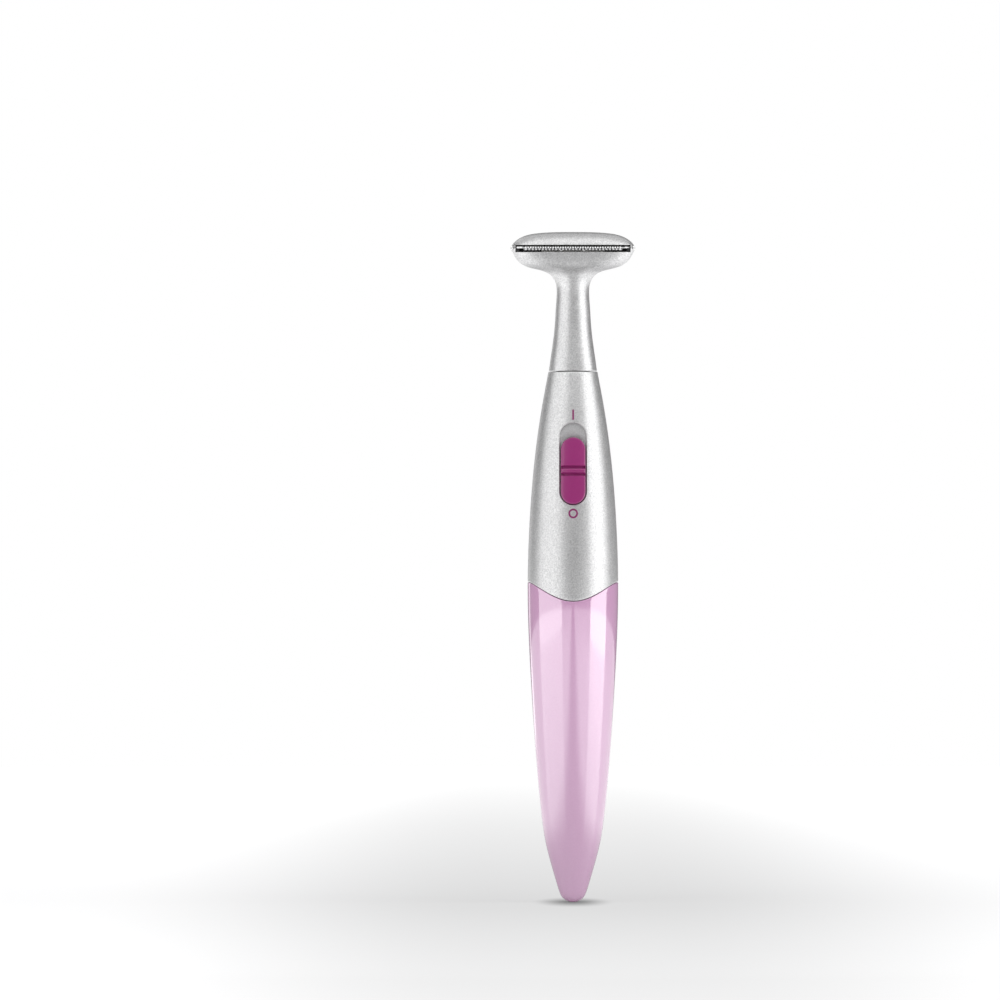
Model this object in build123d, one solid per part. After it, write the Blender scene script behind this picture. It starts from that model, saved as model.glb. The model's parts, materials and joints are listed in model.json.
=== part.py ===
from build123d import *
import math
import os

# Battery bikini trimmer, sold as an epilator: a round tapered handle with a pull-off battery
# cover, a slide switch, and a pull-off T-shaped trimmer head whose cutter is rocked by a motor.
#
# Frame: origin at the rounded tip of the battery cover, +Z along the handle towards the head,
# -Y towards the user (switch and blade side), +X to the right of someone looking at the switch.
# All lengths are in millimetres.

os.makedirs("parts", exist_ok=True)

# ---------------------------------------------------------------- fits
GAP = 0.1                           # general moulding clearance
TOUCH = 0.02                        # hairline between pieces that rest on each other
OVER = 1.0                          # how far a cutting shape runs past the face it cuts
BIG = 60.0                          # larger than any section of the object

# ---------------------------------------------------------------- handle, outside
# Radius and height of the handle's outline, from the rounded tip up to the head joint.
HANDLE = [
    (0.0, 0.0), (1.0, 0.14), (2.0, 0.6), (2.75, 1.27), (3.42, 2.6), (4.32, 5.45), (5.56, 9.7),
    (7.05, 15.7), (8.14, 23.3), (9.51, 38.6), (10.5, 53.8), (11.22, 68.0), (11.47, 80.0),
    (11.1, 94.4), (10.0, 109.6), (8.0, 124.8), (6.2, 134.6),
]
HEAD_JOINT_Z = HANDLE[-1][1]
TIP_CLEAR_R = 0.6                   # an inset outline keeps no point closer to the axis
SEAM_GAP = 0.16                     # visible line between neighbouring shells
COVER_WALL = 1.6
HOUSING_WALL = 1.4
SEAM_SIDE_Z = 81.3                  # cover seam at the sides
SEAM_DIP = 4.9                      # how far the seam dips at the front and back
SEAM_SPANS = 12
SEAM_OVERHANG = 0.4                 # the seam prism reaches this far outside the handle

# ---------------------------------------------------------------- switch
SWITCH_LOW_Z, SWITCH_HIGH_Z = 100.8, 121.5
SWITCH_LOW_R, SWITCH_HIGH_R = 10.66, 8.44       # handle radius at the pocket's two ends
SWITCH_WIDTH = 6.7
SWITCH_FLOOR = 1.0                  # pocket floor below the chord of the surface
SWITCH_WEB = 0.9                    # housing wall under the pocket floor
POCKET_RIM, POCKET_RIM_TOP = 1.2, 0.4           # thickened wall round the pocket, and its height
KNOB_LENGTH, KNOB_WIDTH = 17.0, 6.25
KNOB_PROUD = 0.75
KNOB_BLANK = 4.0                    # height of the knob before its top is rounded
KNOB_TRAVEL = 3.4
RIDGE_HALF, GROOVE_R, GROOVE_HEIGHT = 0.45, 0.75, 1.15
STEM_WIDTH, STEM_LENGTH = 3.0, 5.0
SLIDER_TOP = -SWITCH_FLOOR - SWITCH_WEB - GAP
SLIDER_HALF_WIDTH, SLIDER_THICK = 2.6, 0.8
SLIDER_DOWN, SLIDER_UP = 13.5, 6.0  # reach below and above the knob's middle
HEEL_HALF_WIDTH, HEEL_LENGTH, HEEL_DEPTH = 2.0, 3.0, 1.7
WIPER_HALF_WIDTH, WIPER_LENGTH, WIPER_THICK = 1.8, 2.4, 0.25
TOE_X, TOE_HALF_WIDTH, TOE_HALF_LENGTH, TOE_DEPTH = 1.3, 0.4, 0.3, 0.75

# ---------------------------------------------------------------- trimmer head
# Radius and height of the round neck below the wide part of the head.
NECK = [
    (6.12, 134.6), (5.58, 138.5), (5.0, 142.6), (4.59, 146.6), (4.34, 150.7), (4.1, 154.8),
    (4.1, 156.0),
]
NECK_WALL = 0.9
SOCKET_R = 4.4
SOCKET_TOP_Z = 141.0
RIM_Z = 165.9                       # widest line of the head, where cap and shell part
# Half-width, half-depth and height of the head's level sections, flare and bowl, then cap.
BOWL = [
    (4.08, 4.08, 155.4), (4.24, 4.2, 156.4), (4.75, 4.5, 157.9), (5.8, 4.85, 159.1),
    (8.3, 5.2, 160.25), (12.2, 5.6, 161.4), (14.0, 5.85, 162.7), (15.2, 6.05, 164.5),
    (15.85, 6.15, 165.75), (15.9, 6.2, 166.3),
]
DOME = [
    (15.9, 6.2, 165.4), (15.85, 6.18, 166.0), (15.3, 5.95, 166.9), (14.3, 5.4, 167.9),
    (12.3, 4.3, 169.0), (9.0, 2.7, 169.75), (4.5, 1.0, 170.0),
]
FRONT_SHARE = 0.9                   # the front is flatter than the back
SECTION_POINTS = 24
ROUND_POWER, RIM_POWER = 2, 4       # superellipse powers at the neck and at the rim
CAVITY = (24.0, 6.8)                # width and depth of the room for the blade works
CAVITY_CORNER = 1.5
CAVITY_FLOOR_Z = 163.4
CAVITY_ROOF_Z = 167.6
CATCH_X, CATCH_Y = 15.3, -3.5       # the small beads that a guide comb clips over
CATCH_R, CATCH_BEAD_R, CATCH_RISE = 0.16, 0.22, 0.25
SLOT_HALF_WIDTH = 14.6
SLOT_LOW_Z, SLOT_HIGH_Z = 164.97, 166.62
SLOT_FRONT_Y, SLOT_BACK_Y = -9.0, -0.6

# ---------------------------------------------------------------- blades
COMB_PITCH, COMB_TEETH, COMB_LOW_Z = 0.63, 39, 165.87
COMB_HALF_WIDTH, COMB_BACK_Y = 14.3, -0.75
TAB_HALF_WIDTH, TAB_BACK_Y = 11.6, 3.0          # the part of the comb held inside the cavity
GUARD_INNER_X, GUARD_SETBACK, GUARD_BACK_Y = 12.9, 0.5, -3.0
CUTTER_PITCH, CUTTER_TEETH, CUTTER_LOW_Z = 0.85, 29, 165.32
CUTTER_HALF_WIDTH, CUTTER_BACK_Y, CUTTER_SETBACK = 12.5, -1.6, 0.25
BLADE_THICK = 0.5
TOOTH_LENGTH = 1.5
TOOTH_SHARE = 0.5                   # tooth width over pitch
TOOTH_ROOT = 0.2                    # how far a tooth runs into its plate
TEETH_Y = -5.3
SEAT_HALF_WIDTH, SEAT_FRONT_Y, SEAT_BACK_Y = 14.5, -1.45, -0.7
SEAT_ARM_X, SEAT_ARM_FRONT_Y = 13.6, -4.3
HOLD_HALF_WIDTH, HOLD_HALF_DEPTH = 11.4, 2.8    # seat and clamp inside the cavity
CLAMP_HEADROOM = 0.05

# ---------------------------------------------------------------- cutter carrier and its spring
CARRIER_HALF_WIDTH, CARRIER_FRONT_Y, CARRIER_BACK_Y = 6.0, -2.9, 2.2
CARRIER_LOW_Z, CARRIER_TOP_Z = CAVITY_FLOOR_Z + 0.45, CUTTER_LOW_Z - 0.42
RISER_HALF_WIDTH, RISER_FRONT_Y, RISER_BACK_Y, RISER_LIFT = 8.0, -3.1, -1.7, 0.5
CARRIER_SLOT_HALF_WIDTH, CARRIER_SLOT_HALF_DEPTH, CARRIER_ROOF = 0.65, 1.25, 0.3
LEAF_HALF_WIDTH, LEAF_FRONT_Y, LEAF_BACK_Y, LEAF_THICK = 9.0, -2.6, -1.4, 0.2
LEAF_FOOT_IN, LEAF_FOOT_OUT, LEAF_FOOT_TOP = 4.0, 5.0, 0.4

# ---------------------------------------------------------------- drive
ECCENTRICITY = 0.5
ECCENTRIC_R = 0.5
ECCENTRIC_LOW_Z, ECCENTRIC_TOP_Z = 136.0, 144.5
ECCENTRIC_CHAMFER = 0.12
PIVOT_Z = 150.5
PIVOT_R = 0.6
PIN_R, PIN_HALF_LENGTH = 0.58, 3.2
LEVER_BORE_R = 0.62
LEVER_TIP_Z, LEVER_TIP_R = 163.9, 0.6           # centre of the lever's round tip
LEVER_HALF_THICK = 1.0
LEVER_BODY_HALF_WIDTH, LEVER_HUB_R, LEVER_ARM_HALF_WIDTH = 1.0, 1.9, 0.5
LEVER_BODY_LOW_Z, LEVER_BODY_TOP_Z = 146.0, 157.0
FORK_HALF_WIDTH, FORK_LOW_Z, FORK_BRIDGE_Z, FORK_TOP_Z = 2.5, 140.9, 145.0, 146.6
FORK_PLAY = 0.12                    # between the eccentric pin's path and each prong
BRACKET_PLAY = 0.15                 # between the lever and each cheek
BRACKET_INSET = 0.04                # between the bracket and the neck's bore
BRACKET_LOW_Z, BRACKET_SLOT_Z, BRACKET_TOP_Z = 146.4, 147.8, 154.0
BRACKET_WINDOW_HALF_WIDTH, BRACKET_WINDOW_TOP_Z = 3.0, 150.0

# ---------------------------------------------------------------- motor
MOTOR_R, MOTOR_FLAT = 6.0, 5.0      # can radius, and half its thickness across the flats
MOTOR_LOW_Z, MOTOR_HIGH_Z = 107.0, 125.0
CAN_WALL, CAN_TOP = 0.5, 0.7
CAN_BOSS_R, CAN_BOSS_RISE = 2.0, 1.0
BUSH_HOLE_R, BUSH_R, BUSH_BORE_PLAY = 1.5, 1.48, 0.03
FRONT_BUSH_SUNK, FRONT_BUSH_RISE = 0.6, 0.9
REAR_BUSH_DROP, REAR_BUSH_RISE = 0.35, 1.2
END_CAP_LOW_Z = MOTOR_LOW_Z - 3.0
END_CAP_FLOOR, END_CAP_WALL, END_CAP_PLUG_TOP = 1.2, 1.4, 0.9
END_CAP_BOSS_R, END_CAP_BOSS_DROP, END_CAP_SINK = 2.2, 1.0, 0.4
TERMINAL_X, TERMINAL_HALF_THICK, TERMINAL_HALF_DEPTH = 3.9, 0.25, 1.0
TERMINAL_DROP, TERMINAL_RISE = 2.9, 1.6
SHAFT_R = 0.75
SHAFT_LOW_Z, SHAFT_TOP_Z, SHAFT_CHAMFER = MOTOR_LOW_Z - 3.3, 133.0, 0.15
MAGNET_OUT_R, MAGNET_IN_R = 5.4, 4.25
MAGNET_LOW_Z, MAGNET_TOP_Z = MOTOR_LOW_Z + 2.6, MOTOR_HIGH_Z - 1.6
MAGNET_CUT_X, MAGNET_HALF_DEPTH = 2.6, 4.4
BRUSH_IN_X, BRUSH_OUT_X, BRUSH_HALF, BRUSH_Z = 1.72, 3.2, 0.8, MOTOR_LOW_Z - 0.2
ROTOR_LOW_Z, ROTOR_HIGH_Z = MOTOR_LOW_Z + 4.0, MOTOR_HIGH_Z - 3.5
ROTOR_R, ROTOR_HUB_R, ROTOR_SHOE = 3.9, 1.5, 0.8
POLES = 3
POLE_X, POLE_LENGTH, POLE_WIDTH = 1.8, 3.4, 1.1
SHOE_X, SHOE_LENGTH, SHOE_SPAN = 3.2, 2.4, 5.2
COIL_IN_X, COIL_OUT_X, COIL_HALF_WIDTH, COIL_OVERHANG, COIL_ROUND = 1.62, 2.8, 1.15, 0.7, 0.5
COMMUTATOR_R, COMMUTATOR_LOW_Z, COMMUTATOR_TOP_Z = 1.65, MOTOR_LOW_Z - 1.4, MOTOR_LOW_Z + 2.2

# ---------------------------------------------------------------- spindle and drive collar
SPINDLE_R = 2.2
SPINDLE_LOW_Z, SPINDLE_TOP_Z = 126.4, 139.2
SPIGOT_R, SPIGOT_LOW_Z, SPIGOT_TOP_Z = 4.25, 132.0, 140.3
FLANGE_R, FLANGE_TOP_Z = 5.6, 127.5
WAIST_R, WAIST_LOW_Z, WAIST_TOP_Z = 3.1, 127.0, 131.0
SHOULDER_R, SHOULDER_LOW_Z = 5.0, 130.5
COLLAR_BORE_PLAY = 0.4
KEY_HALF_WIDTH, KEY_IN_Y, KEY_OUT_Y, KEY_TOP_Z = 0.6, 3.5, 4.75, 138.5
KEYWAY_HALF_WIDTH, KEYWAY_IN_Y, KEYWAY_OUT_Y, KEYWAY_TOP_Z = 0.7, 3.0, 4.85, 139.0
SEAL_SEAT_R, SEAL_SEAT_Z = 3.3, 138.5
LIP_SEAL_R, LIP_SEAL_PLAY, LIP_SEAL_TOP_Z = 3.28, 0.08, 139.9
RING_GROOVE_R, RING_GROOVE_LOW_Z, RING_GROOVE_TOP_Z = 3.75, 136.2, 137.2
RING_IN_R, RING_PLAY, RING_SPLIT = 3.78, 0.05, 1.1
SCREW_X, SCREW_R, SCREW_LOW_Z = 4.5, 0.7, 124.6
SCREW_HOLE_R, CAN_SCREW_HOLE_R = 0.75, 0.8
SCREW_HEAD_R, SCREW_HEAD_THICK, SCREW_HEAD_SINK = 1.25, 0.9, 0.1
SCREW_SLOT_HALF_LENGTH, SCREW_SLOT_HALF_WIDTH, SCREW_SLOT_DEPTH = 0.9, 0.15, 0.3

# ---------------------------------------------------------------- battery
CELL_R, CELL_LENGTH = 5.25, 43.7    # size AAA, without its nub
CELL_LOW_Z = 31.0
CELL_EDGE = 0.4
NUB_R, NUB_HEIGHT = 1.9, 0.8
CELL_RING_OUT, CELL_RING_IN, CELL_RING_DEPTH = 4.4, 3.2, 0.15
CELL_TOP_Z = CELL_LOW_Z + CELL_LENGTH
NUB_TOP_Z = CELL_TOP_Z + NUB_HEIGHT
BAY_R, BAY_WALL = 5.4, 0.9
BAY_OPEN_Y = -1.2                   # the bay is open in front of this plane
FOOT_LOW_Z, FOOT_THICK, FOOT_HOLE_R = 26.0, 1.6, 0.6
BAY_LOW_Z = FOOT_LOW_Z + 0.5
DECK_Z, DECK_THICK, DECK_INSET = 76.6, 1.2, 2.0
LIP_R = 8.6
COLLAR_LOW_Z, COLLAR_TOP_Z = 70.5, 92.0
COLLAR_OUTSIDE, COLLAR_INSIDE = 1.85, 3.0       # depth of its faces under the handle's skin
RIB_LOW_Z, RIB_TOP_Z, RIB_OUTSIDE, RIB_INSIDE = 86.0, 88.0, 1.45, 2.4
SEAL_Z, SEAL_R, SEAL_SECTION_R, SEAL_GROOVE_HALF = 73.0, 9.3, 0.45, 0.7
SEAL_GROOVE_OUT_R = 12.0
SPINE_HALF_WIDTH, SPINE_BACK_Y, SPINE_INSET = 2.5, 9.0, 1.55
SHELF_HALF_WIDTH, SHELF_FRONT_Y, SHELF_LOW_Z, SHELF_THICK = 4.5, 1.6, 99.0, 1.4
TABLE_HALF_WIDTH, TABLE_BACK_Y, TABLE_LOW_Z = 3.6, 5.4, DECK_Z + 8
POST_HALF_WIDTH, POST_THICK = 2.6, 1.1

# ---------------------------------------------------------------- contacts
STRIP = 0.3                         # thickness of the stamped contact strips
STRIP_HALF_WIDTH = 1.2
STRIP_FRONT_Y = -6.2                # front face of the strips that the switch wiper touches
STRIP_BACK_Y = 6.32                 # inner face of the strip behind the battery bay
STRIP_EDGE = 0.6                    # width of the narrow runs to the motor's terminals
STRIP_OUTER_X = TERMINAL_X + 0.3
SWITCH_STRIP_TOP_Z = 101.9
CONTACT_IN_X, CONTACT_OUT_X = 0.3, 2.4          # the two strips side by side on the post
POSITIVE_BEND_Y, POSITIVE_BACK_Y, POSITIVE_DROP = -4.5, 1.0, 0.4
MOTOR_STRIP_LENGTH = 2.4
NEGATIVE_RUN_Y, NEGATIVE_FOOT_Y = 4.4, -1.0
STRIP_SLOT_HALF_WIDTH, STRIP_NOTCH, STRIP_NOTCH_Y = 1.3, 0.7, 1.0
DISC_R, DISC_THICK, DIMPLE_R, TAIL_R, TAIL_RISE = 3.2, 0.4, 1.5, 0.8, 2.2
TAIL_HOLE_R = 1.0
SPRING_WIRE_R, SPRING_R, SPRING_PITCH, SPRING_TAPER = 0.3, 3.6, 0.9, 12


# ---------------------------------------------------------------- helpers
def save(name, *solids):
    """Writes one node, which may hold several separate solids."""
    shape = solids[0] if len(solids) == 1 else Compound(children=list(solids))
    export_step(shape, f"parts/{name}.step")


def cyl(r, low, high, x=0.0, y=0.0):
    """Upright cylinder between two heights."""
    return Pos(x, y, (low + high) / 2) * Cylinder(r, high - low)


def tube(r_out, r_in, low, high):
    return cyl(r_out, low, high) - cyl(r_in, low - OVER, high + OVER)


def block(x0, x1, y0, y1, z0, z1):
    return Pos((x0 + x1) / 2, (y0 + y1) / 2, (z0 + z1) / 2) * Box(x1 - x0, y1 - y0, z1 - z0)


def bar(half_width, y0, y1, z0, z1):
    """Box centred on X = 0."""
    return block(-half_width, half_width, y0, y1, z0, z1)


def side_block(side, x_in, x_out, y0, y1, z0, z1):
    """Box on one side of X = 0, where side is -1 or 1."""
    x0, x1 = sorted((side * x_in, side * x_out))
    return block(x0, x1, y0, y1, z0, z1)


def rod_y(r, z, y0, y1, x=0.0):
    """Cylinder along Y."""
    return Pos(x, (y0 + y1) / 2, z) * Rot(90, 0, 0) * Cylinder(r, y1 - y0)


def lathe(points):
    """Solid turned about Z from an outline whose first point may be on the axis."""
    curve = Plane.XZ * Spline(points)
    top, low = points[-1][1], points[0][1]
    sides = [Plane.XZ * Line(points[-1], (0, top)), Plane.XZ * Line((0, top), (0, low))]
    if points[0][0] > 0:
        sides.append(Plane.XZ * Line((0, low), points[0]))
    return revolve(make_face([curve, *sides]), Axis.Z)


def inset_outline(points, inset):
    """The outline's own points, each moved square to the curve by inset."""
    curve = Spline(points)
    moved = []
    for point in points:
        share = curve.param_at_point(point)
        along = curve.tangent_at(share)
        moved.append((point[0] - inset * along.Y, point[1] + inset * along.X))
    return moved


def handle_body(inset):
    """The handle's outline moved in by inset, or out when it is negative."""
    if inset == 0:
        return lathe(HANDLE)
    tip = (0.0, inset)
    moved = inset_outline(HANDLE[1:], inset)
    kept = [p for p in moved if p[0] > TIP_CLEAR_R and p[1] > inset]
    return lathe([tip] + kept)


def neck_body(inset):
    """The neck's outline moved in by inset, with a straight top that ends inside the head."""
    points = [(r - inset, z) for r, z in NECK]
    return lathe(points)


def above(z):
    return block(-BIG, BIG, -BIG, BIG, z, z + 4 * BIG)


def below(z):
    return block(-BIG, BIG, -BIG, BIG, z - 4 * BIG, z)


def between(low, high):
    return block(-BIG, BIG, -BIG, BIG, low, high)


def below_seam(shift):
    """Everything under the wavy cover seam, as a prism along Y."""
    half = max(r for r, z in HANDLE) + SEAM_OVERHANG
    wave = []
    for i in range(SEAM_SPANS + 1):
        x = half * (2 * i / SEAM_SPANS - 1)
        dip = SEAM_DIP * (1 - (x / half) ** 2) ** 1.5
        wave.append((x, SEAM_SIDE_Z - dip + shift))
    edge = Plane.XZ * Spline(wave)
    floor = -5 * OVER
    corners = [wave[-1], (half, floor), (-half, floor), wave[0]]
    sides = [Plane.XZ * Line(a, b) for a, b in zip(corners, corners[1:])]
    return extrude(make_face([edge, *sides]), BIG / 2, both=True)


# ---------------------------------------------------------------- switch plane
def chord_radius(z):
    """Handle radius on the straight line between the two ends of the switch pocket."""
    share = (z - SWITCH_LOW_Z) / (SWITCH_HIGH_Z - SWITCH_LOW_Z)
    return SWITCH_LOW_R + (SWITCH_HIGH_R - SWITCH_LOW_R) * share


SWITCH_MID_Z = (SWITCH_LOW_Z + SWITCH_HIGH_Z) / 2
SWITCH_TILT = math.atan2(SWITCH_LOW_R - SWITCH_HIGH_R, SWITCH_HIGH_Z - SWITCH_LOW_Z)
SWITCH_PLANE = Plane(
    origin=(0, -chord_radius(SWITCH_MID_Z), SWITCH_MID_Z),
    x_dir=(1, 0, 0),
    z_dir=(0, -math.cos(SWITCH_TILT), math.sin(SWITCH_TILT)),
)
POCKET_LENGTH = (SWITCH_HIGH_Z - SWITCH_LOW_Z) / math.cos(SWITCH_TILT)
KNOB_MID = -(POCKET_LENGTH - KNOB_LENGTH) / 2 + GAP
HEEL_MID = KNOB_MID - SLIDER_DOWN + HEEL_LENGTH / 2


def switch_slot(length, width, mid, low, high):
    """Round-ended prism on the switch plane, from depth low to depth high."""
    face = SWITCH_PLANE.offset(low) * Pos(0, mid) * SlotOverall(length, width, rotation=90)
    return extrude(face, high - low)


def switch_bar(half_width, y0, y1, z0, z1, x=0.0):
    """Box in the switch plane's own directions."""
    return SWITCH_PLANE * Pos(x, 0, 0) * bar(half_width, y0, y1, z0, z1)


# ---------------------------------------------------------------- handle shells
def make_upper_housing():
    outer = handle_body(0)
    shell = outer - (handle_body(HOUSING_WALL) & below(HEAD_JOINT_Z - HOUSING_WALL))
    web_back = -SWITCH_FLOOR - SWITCH_WEB
    rim = 2 * POCKET_RIM
    pad = switch_slot(POCKET_LENGTH + rim, SWITCH_WIDTH + rim, 0, web_back, POCKET_RIM_TOP)
    shell = shell + (pad & outer)
    shell -= switch_slot(POCKET_LENGTH, SWITCH_WIDTH, 0, -SWITCH_FLOOR, KNOB_BLANK)
    window_length = STEM_LENGTH + KNOB_TRAVEL + 4 * GAP
    window_mid = KNOB_MID + KNOB_TRAVEL / 2
    shell -= switch_slot(window_length, STEM_WIDTH + 2 * GAP, window_mid, web_back - OVER, OVER)
    shell -= cyl(SPIGOT_R + GAP, HEAD_JOINT_Z - 2 * HOUSING_WALL, HEAD_JOINT_Z + OVER)
    shell &= below(HEAD_JOINT_Z - SEAM_GAP / 2)
    return shell - below_seam(SEAM_GAP / 2)


def make_battery_cover():
    shell = handle_body(0) - handle_body(COVER_WALL)
    return shell & below_seam(-SEAM_GAP / 2)


# ---------------------------------------------------------------- switch pieces
def make_switch_knob():
    """Curved thumb piece with a cross ridge between two grooves, and its stem."""
    body = switch_slot(KNOB_LENGTH, KNOB_WIDTH, KNOB_MID, GAP - SWITCH_FLOOR, KNOB_BLANK)
    body &= handle_body(-KNOB_PROUD)
    groove = Rot(0, 90, 0) * Cylinder(GROOVE_R, KNOB_WIDTH + 2 * OVER)
    for side in (-1, 1):
        groove_mid = KNOB_MID + side * (RIDGE_HALF + GROOVE_R)
        body -= SWITCH_PLANE * Pos(0, groove_mid, GROOVE_HEIGHT) * groove
    return body + switch_slot(STEM_LENGTH, STEM_WIDTH, KNOB_MID, SLIDER_TOP, 0)


def make_switch_slider():
    """Inner plate clipped to the knob's stem, with a heel over the contacts."""
    low, high = KNOB_MID - SLIDER_DOWN, KNOB_MID + SLIDER_UP
    plate = switch_bar(SLIDER_HALF_WIDTH, low, high, SLIDER_TOP - SLIDER_THICK, SLIDER_TOP)
    heel = switch_bar(HEEL_HALF_WIDTH, low, low + HEEL_LENGTH, SLIDER_TOP - HEEL_DEPTH, SLIDER_TOP)
    return plate + heel


def make_switch_wiper():
    """Bent spring strip under the slider's heel that bridges the two fixed contacts."""
    top = SLIDER_TOP - HEEL_DEPTH
    half = WIPER_LENGTH / 2
    strip = switch_bar(WIPER_HALF_WIDTH, HEEL_MID - half, HEEL_MID + half, top - WIPER_THICK, top)
    low, high = HEEL_MID - TOE_HALF_LENGTH, HEEL_MID + TOE_HALF_LENGTH
    for side in (-1, 1):
        strip += switch_bar(TOE_HALF_WIDTH, low, high, top - TOE_DEPTH, top, x=side * TOE_X)
    return strip


# ---------------------------------------------------------------- chassis
def make_collar():
    """Ring under both shells, with the rib that the housing stops on."""
    ring = (handle_body(COLLAR_OUTSIDE) - handle_body(COLLAR_INSIDE)) & between(COLLAR_LOW_Z, COLLAR_TOP_Z)
    rib = (handle_body(RIB_OUTSIDE) - handle_body(RIB_INSIDE)) & between(RIB_LOW_Z, RIB_TOP_Z)
    return ring + rib


def make_battery_bay():
    """Half-open tube for the cell, closed by a foot below and a deck above."""
    bay_out = BAY_R + BAY_WALL
    bay = tube(bay_out, BAY_R, BAY_LOW_Z, DECK_Z + 2 * GAP)
    bay -= block(-BIG, BIG, -BIG, BAY_OPEN_Y, 0, DECK_Z)
    lip = tube(LIP_R, BAY_R, COLLAR_LOW_Z, COLLAR_LOW_Z + DECK_THICK)
    foot = cyl(bay_out, FOOT_LOW_Z, FOOT_LOW_Z + FOOT_THICK)
    deck = handle_body(DECK_INSET) & between(DECK_Z, DECK_Z + DECK_THICK)
    return deck + bay + lip + foot


def make_motor_bed():
    """Spine up the back, shelf under the motor, and the table and post for the contacts."""
    spine = bar(SPINE_HALF_WIDTH, MOTOR_FLAT + GAP, SPINE_BACK_Y, DECK_Z, MOTOR_HIGH_Z - GAP)
    spine &= handle_body(SPINE_INSET)
    shelf_back = MOTOR_FLAT + 4 * GAP
    shelf = bar(SHELF_HALF_WIDTH, SHELF_FRONT_Y, shelf_back, SHELF_LOW_Z, SHELF_LOW_Z + SHELF_THICK)
    front = STRIP_FRONT_Y + STRIP
    table_top = TABLE_LOW_Z + DECK_THICK
    table = bar(TABLE_HALF_WIDTH, front, TABLE_BACK_Y, TABLE_LOW_Z, table_top)
    post = bar(POST_HALF_WIDTH, front, front + POST_THICK, TABLE_LOW_Z, SWITCH_STRIP_TOP_Z)
    return spine + shelf + table + post


def make_chassis_frame():
    frame = make_collar() + make_battery_bay() + make_motor_bed()
    groove_low, groove_top = SEAL_Z - SEAL_GROOVE_HALF, SEAL_Z + SEAL_GROOVE_HALF
    frame -= tube(SEAL_GROOVE_OUT_R, SEAL_R - SEAL_SECTION_R, groove_low, groove_top)
    frame -= cyl(TAIL_HOLE_R, DECK_Z - OVER, DECK_Z + DECK_THICK + OVER)
    frame -= cyl(FOOT_HOLE_R, FOOT_LOW_Z - OVER, FOOT_LOW_Z + FOOT_THICK + OVER)
    slot_in, slot_out = STRIP_BACK_Y - TOUCH, STRIP_BACK_Y + STRIP + GAP / 2
    top = SWITCH_STRIP_TOP_Z + GAP
    frame -= bar(STRIP_SLOT_HALF_WIDTH, slot_in, slot_out, FOOT_LOW_Z - OVER, top)
    notch_x, notch_low = -STRIP_OUTER_X - 4 * GAP, SWITCH_STRIP_TOP_Z - STRIP_NOTCH
    return frame - block(notch_x, STRIP_SLOT_HALF_WIDTH, STRIP_NOTCH_Y, slot_out, notch_low, top)


def make_cover_seal():
    """Rubber ring in the collar's groove."""
    return Pos(0, 0, SEAL_Z) * Torus(SEAL_R, SEAL_SECTION_R)


# ---------------------------------------------------------------- battery and contacts
def make_battery_cell():
    can = fillet(cyl(CELL_R, CELL_LOW_Z, CELL_TOP_Z).edges(), CELL_EDGE)
    nub = cyl(NUB_R, CELL_TOP_Z - CELL_EDGE - GAP, NUB_TOP_Z)
    ring = tube(CELL_RING_OUT, CELL_RING_IN, CELL_TOP_Z - CELL_RING_DEPTH, CELL_TOP_Z + OVER)
    return can + nub - ring


def make_positive_contact():
    """Stamped disc under the deck with a dimple for the cell and a tail through the deck."""
    top = DECK_Z - TOUCH
    tail_low = top - DISC_THICK / 2
    disc = cyl(DISC_R, top - DISC_THICK, top) + cyl(DIMPLE_R, NUB_TOP_Z + TOUCH, tail_low)
    return disc + cyl(TAIL_R, tail_low, DECK_Z + TAIL_RISE)


def make_negative_spring():
    """Conical contact spring between the bay's foot and the cell."""
    low = FOOT_LOW_Z + FOOT_THICK + SPRING_WIRE_R + TOUCH
    height = CELL_LOW_Z - SPRING_WIRE_R - TOUCH - low
    path = Helix(SPRING_PITCH, height, SPRING_R, center=(0, 0, low), cone_angle=SPRING_TAPER)
    profile = Plane(origin=path @ 0, z_dir=path % 0) * Circle(SPRING_WIRE_R)
    return sweep(profile, path=path, is_frenet=True)


def make_positive_strip():
    """From the positive contact's tail up the post, where the switch wiper always touches it."""
    low = DECK_Z + DECK_THICK
    base = bar(STRIP_HALF_WIDTH, STRIP_FRONT_Y, POSITIVE_BACK_Y, low, low + STRIP)
    step = block(-CONTACT_OUT_X, 0, STRIP_FRONT_Y, POSITIVE_BEND_Y, low, low + STRIP)
    top, back = SWITCH_STRIP_TOP_Z - POSITIVE_DROP, STRIP_FRONT_Y + STRIP
    rise = block(-CONTACT_OUT_X, -CONTACT_IN_X, STRIP_FRONT_Y, back, low, top)
    return base + step + rise - cyl(TAIL_R, low - OVER, low + 2 * OVER)


def make_motor_strip():
    """From the post, where the wiper touches it when on, to the motor's right terminal."""
    top, back = SWITCH_STRIP_TOP_Z, STRIP_FRONT_Y + STRIP
    run_low = top - STRIP_EDGE
    rise = block(CONTACT_IN_X, CONTACT_OUT_X, STRIP_FRONT_Y, back, top - MOTOR_STRIP_LENGTH, top)
    run = block(CONTACT_IN_X, STRIP_OUTER_X, STRIP_FRONT_Y, back, run_low, top)
    tail_in, tail_end = STRIP_OUTER_X - STRIP_EDGE, -TERMINAL_HALF_DEPTH - TOUCH
    return rise + run + block(tail_in, STRIP_OUTER_X, STRIP_FRONT_Y, tail_end, run_low, top)


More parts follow.
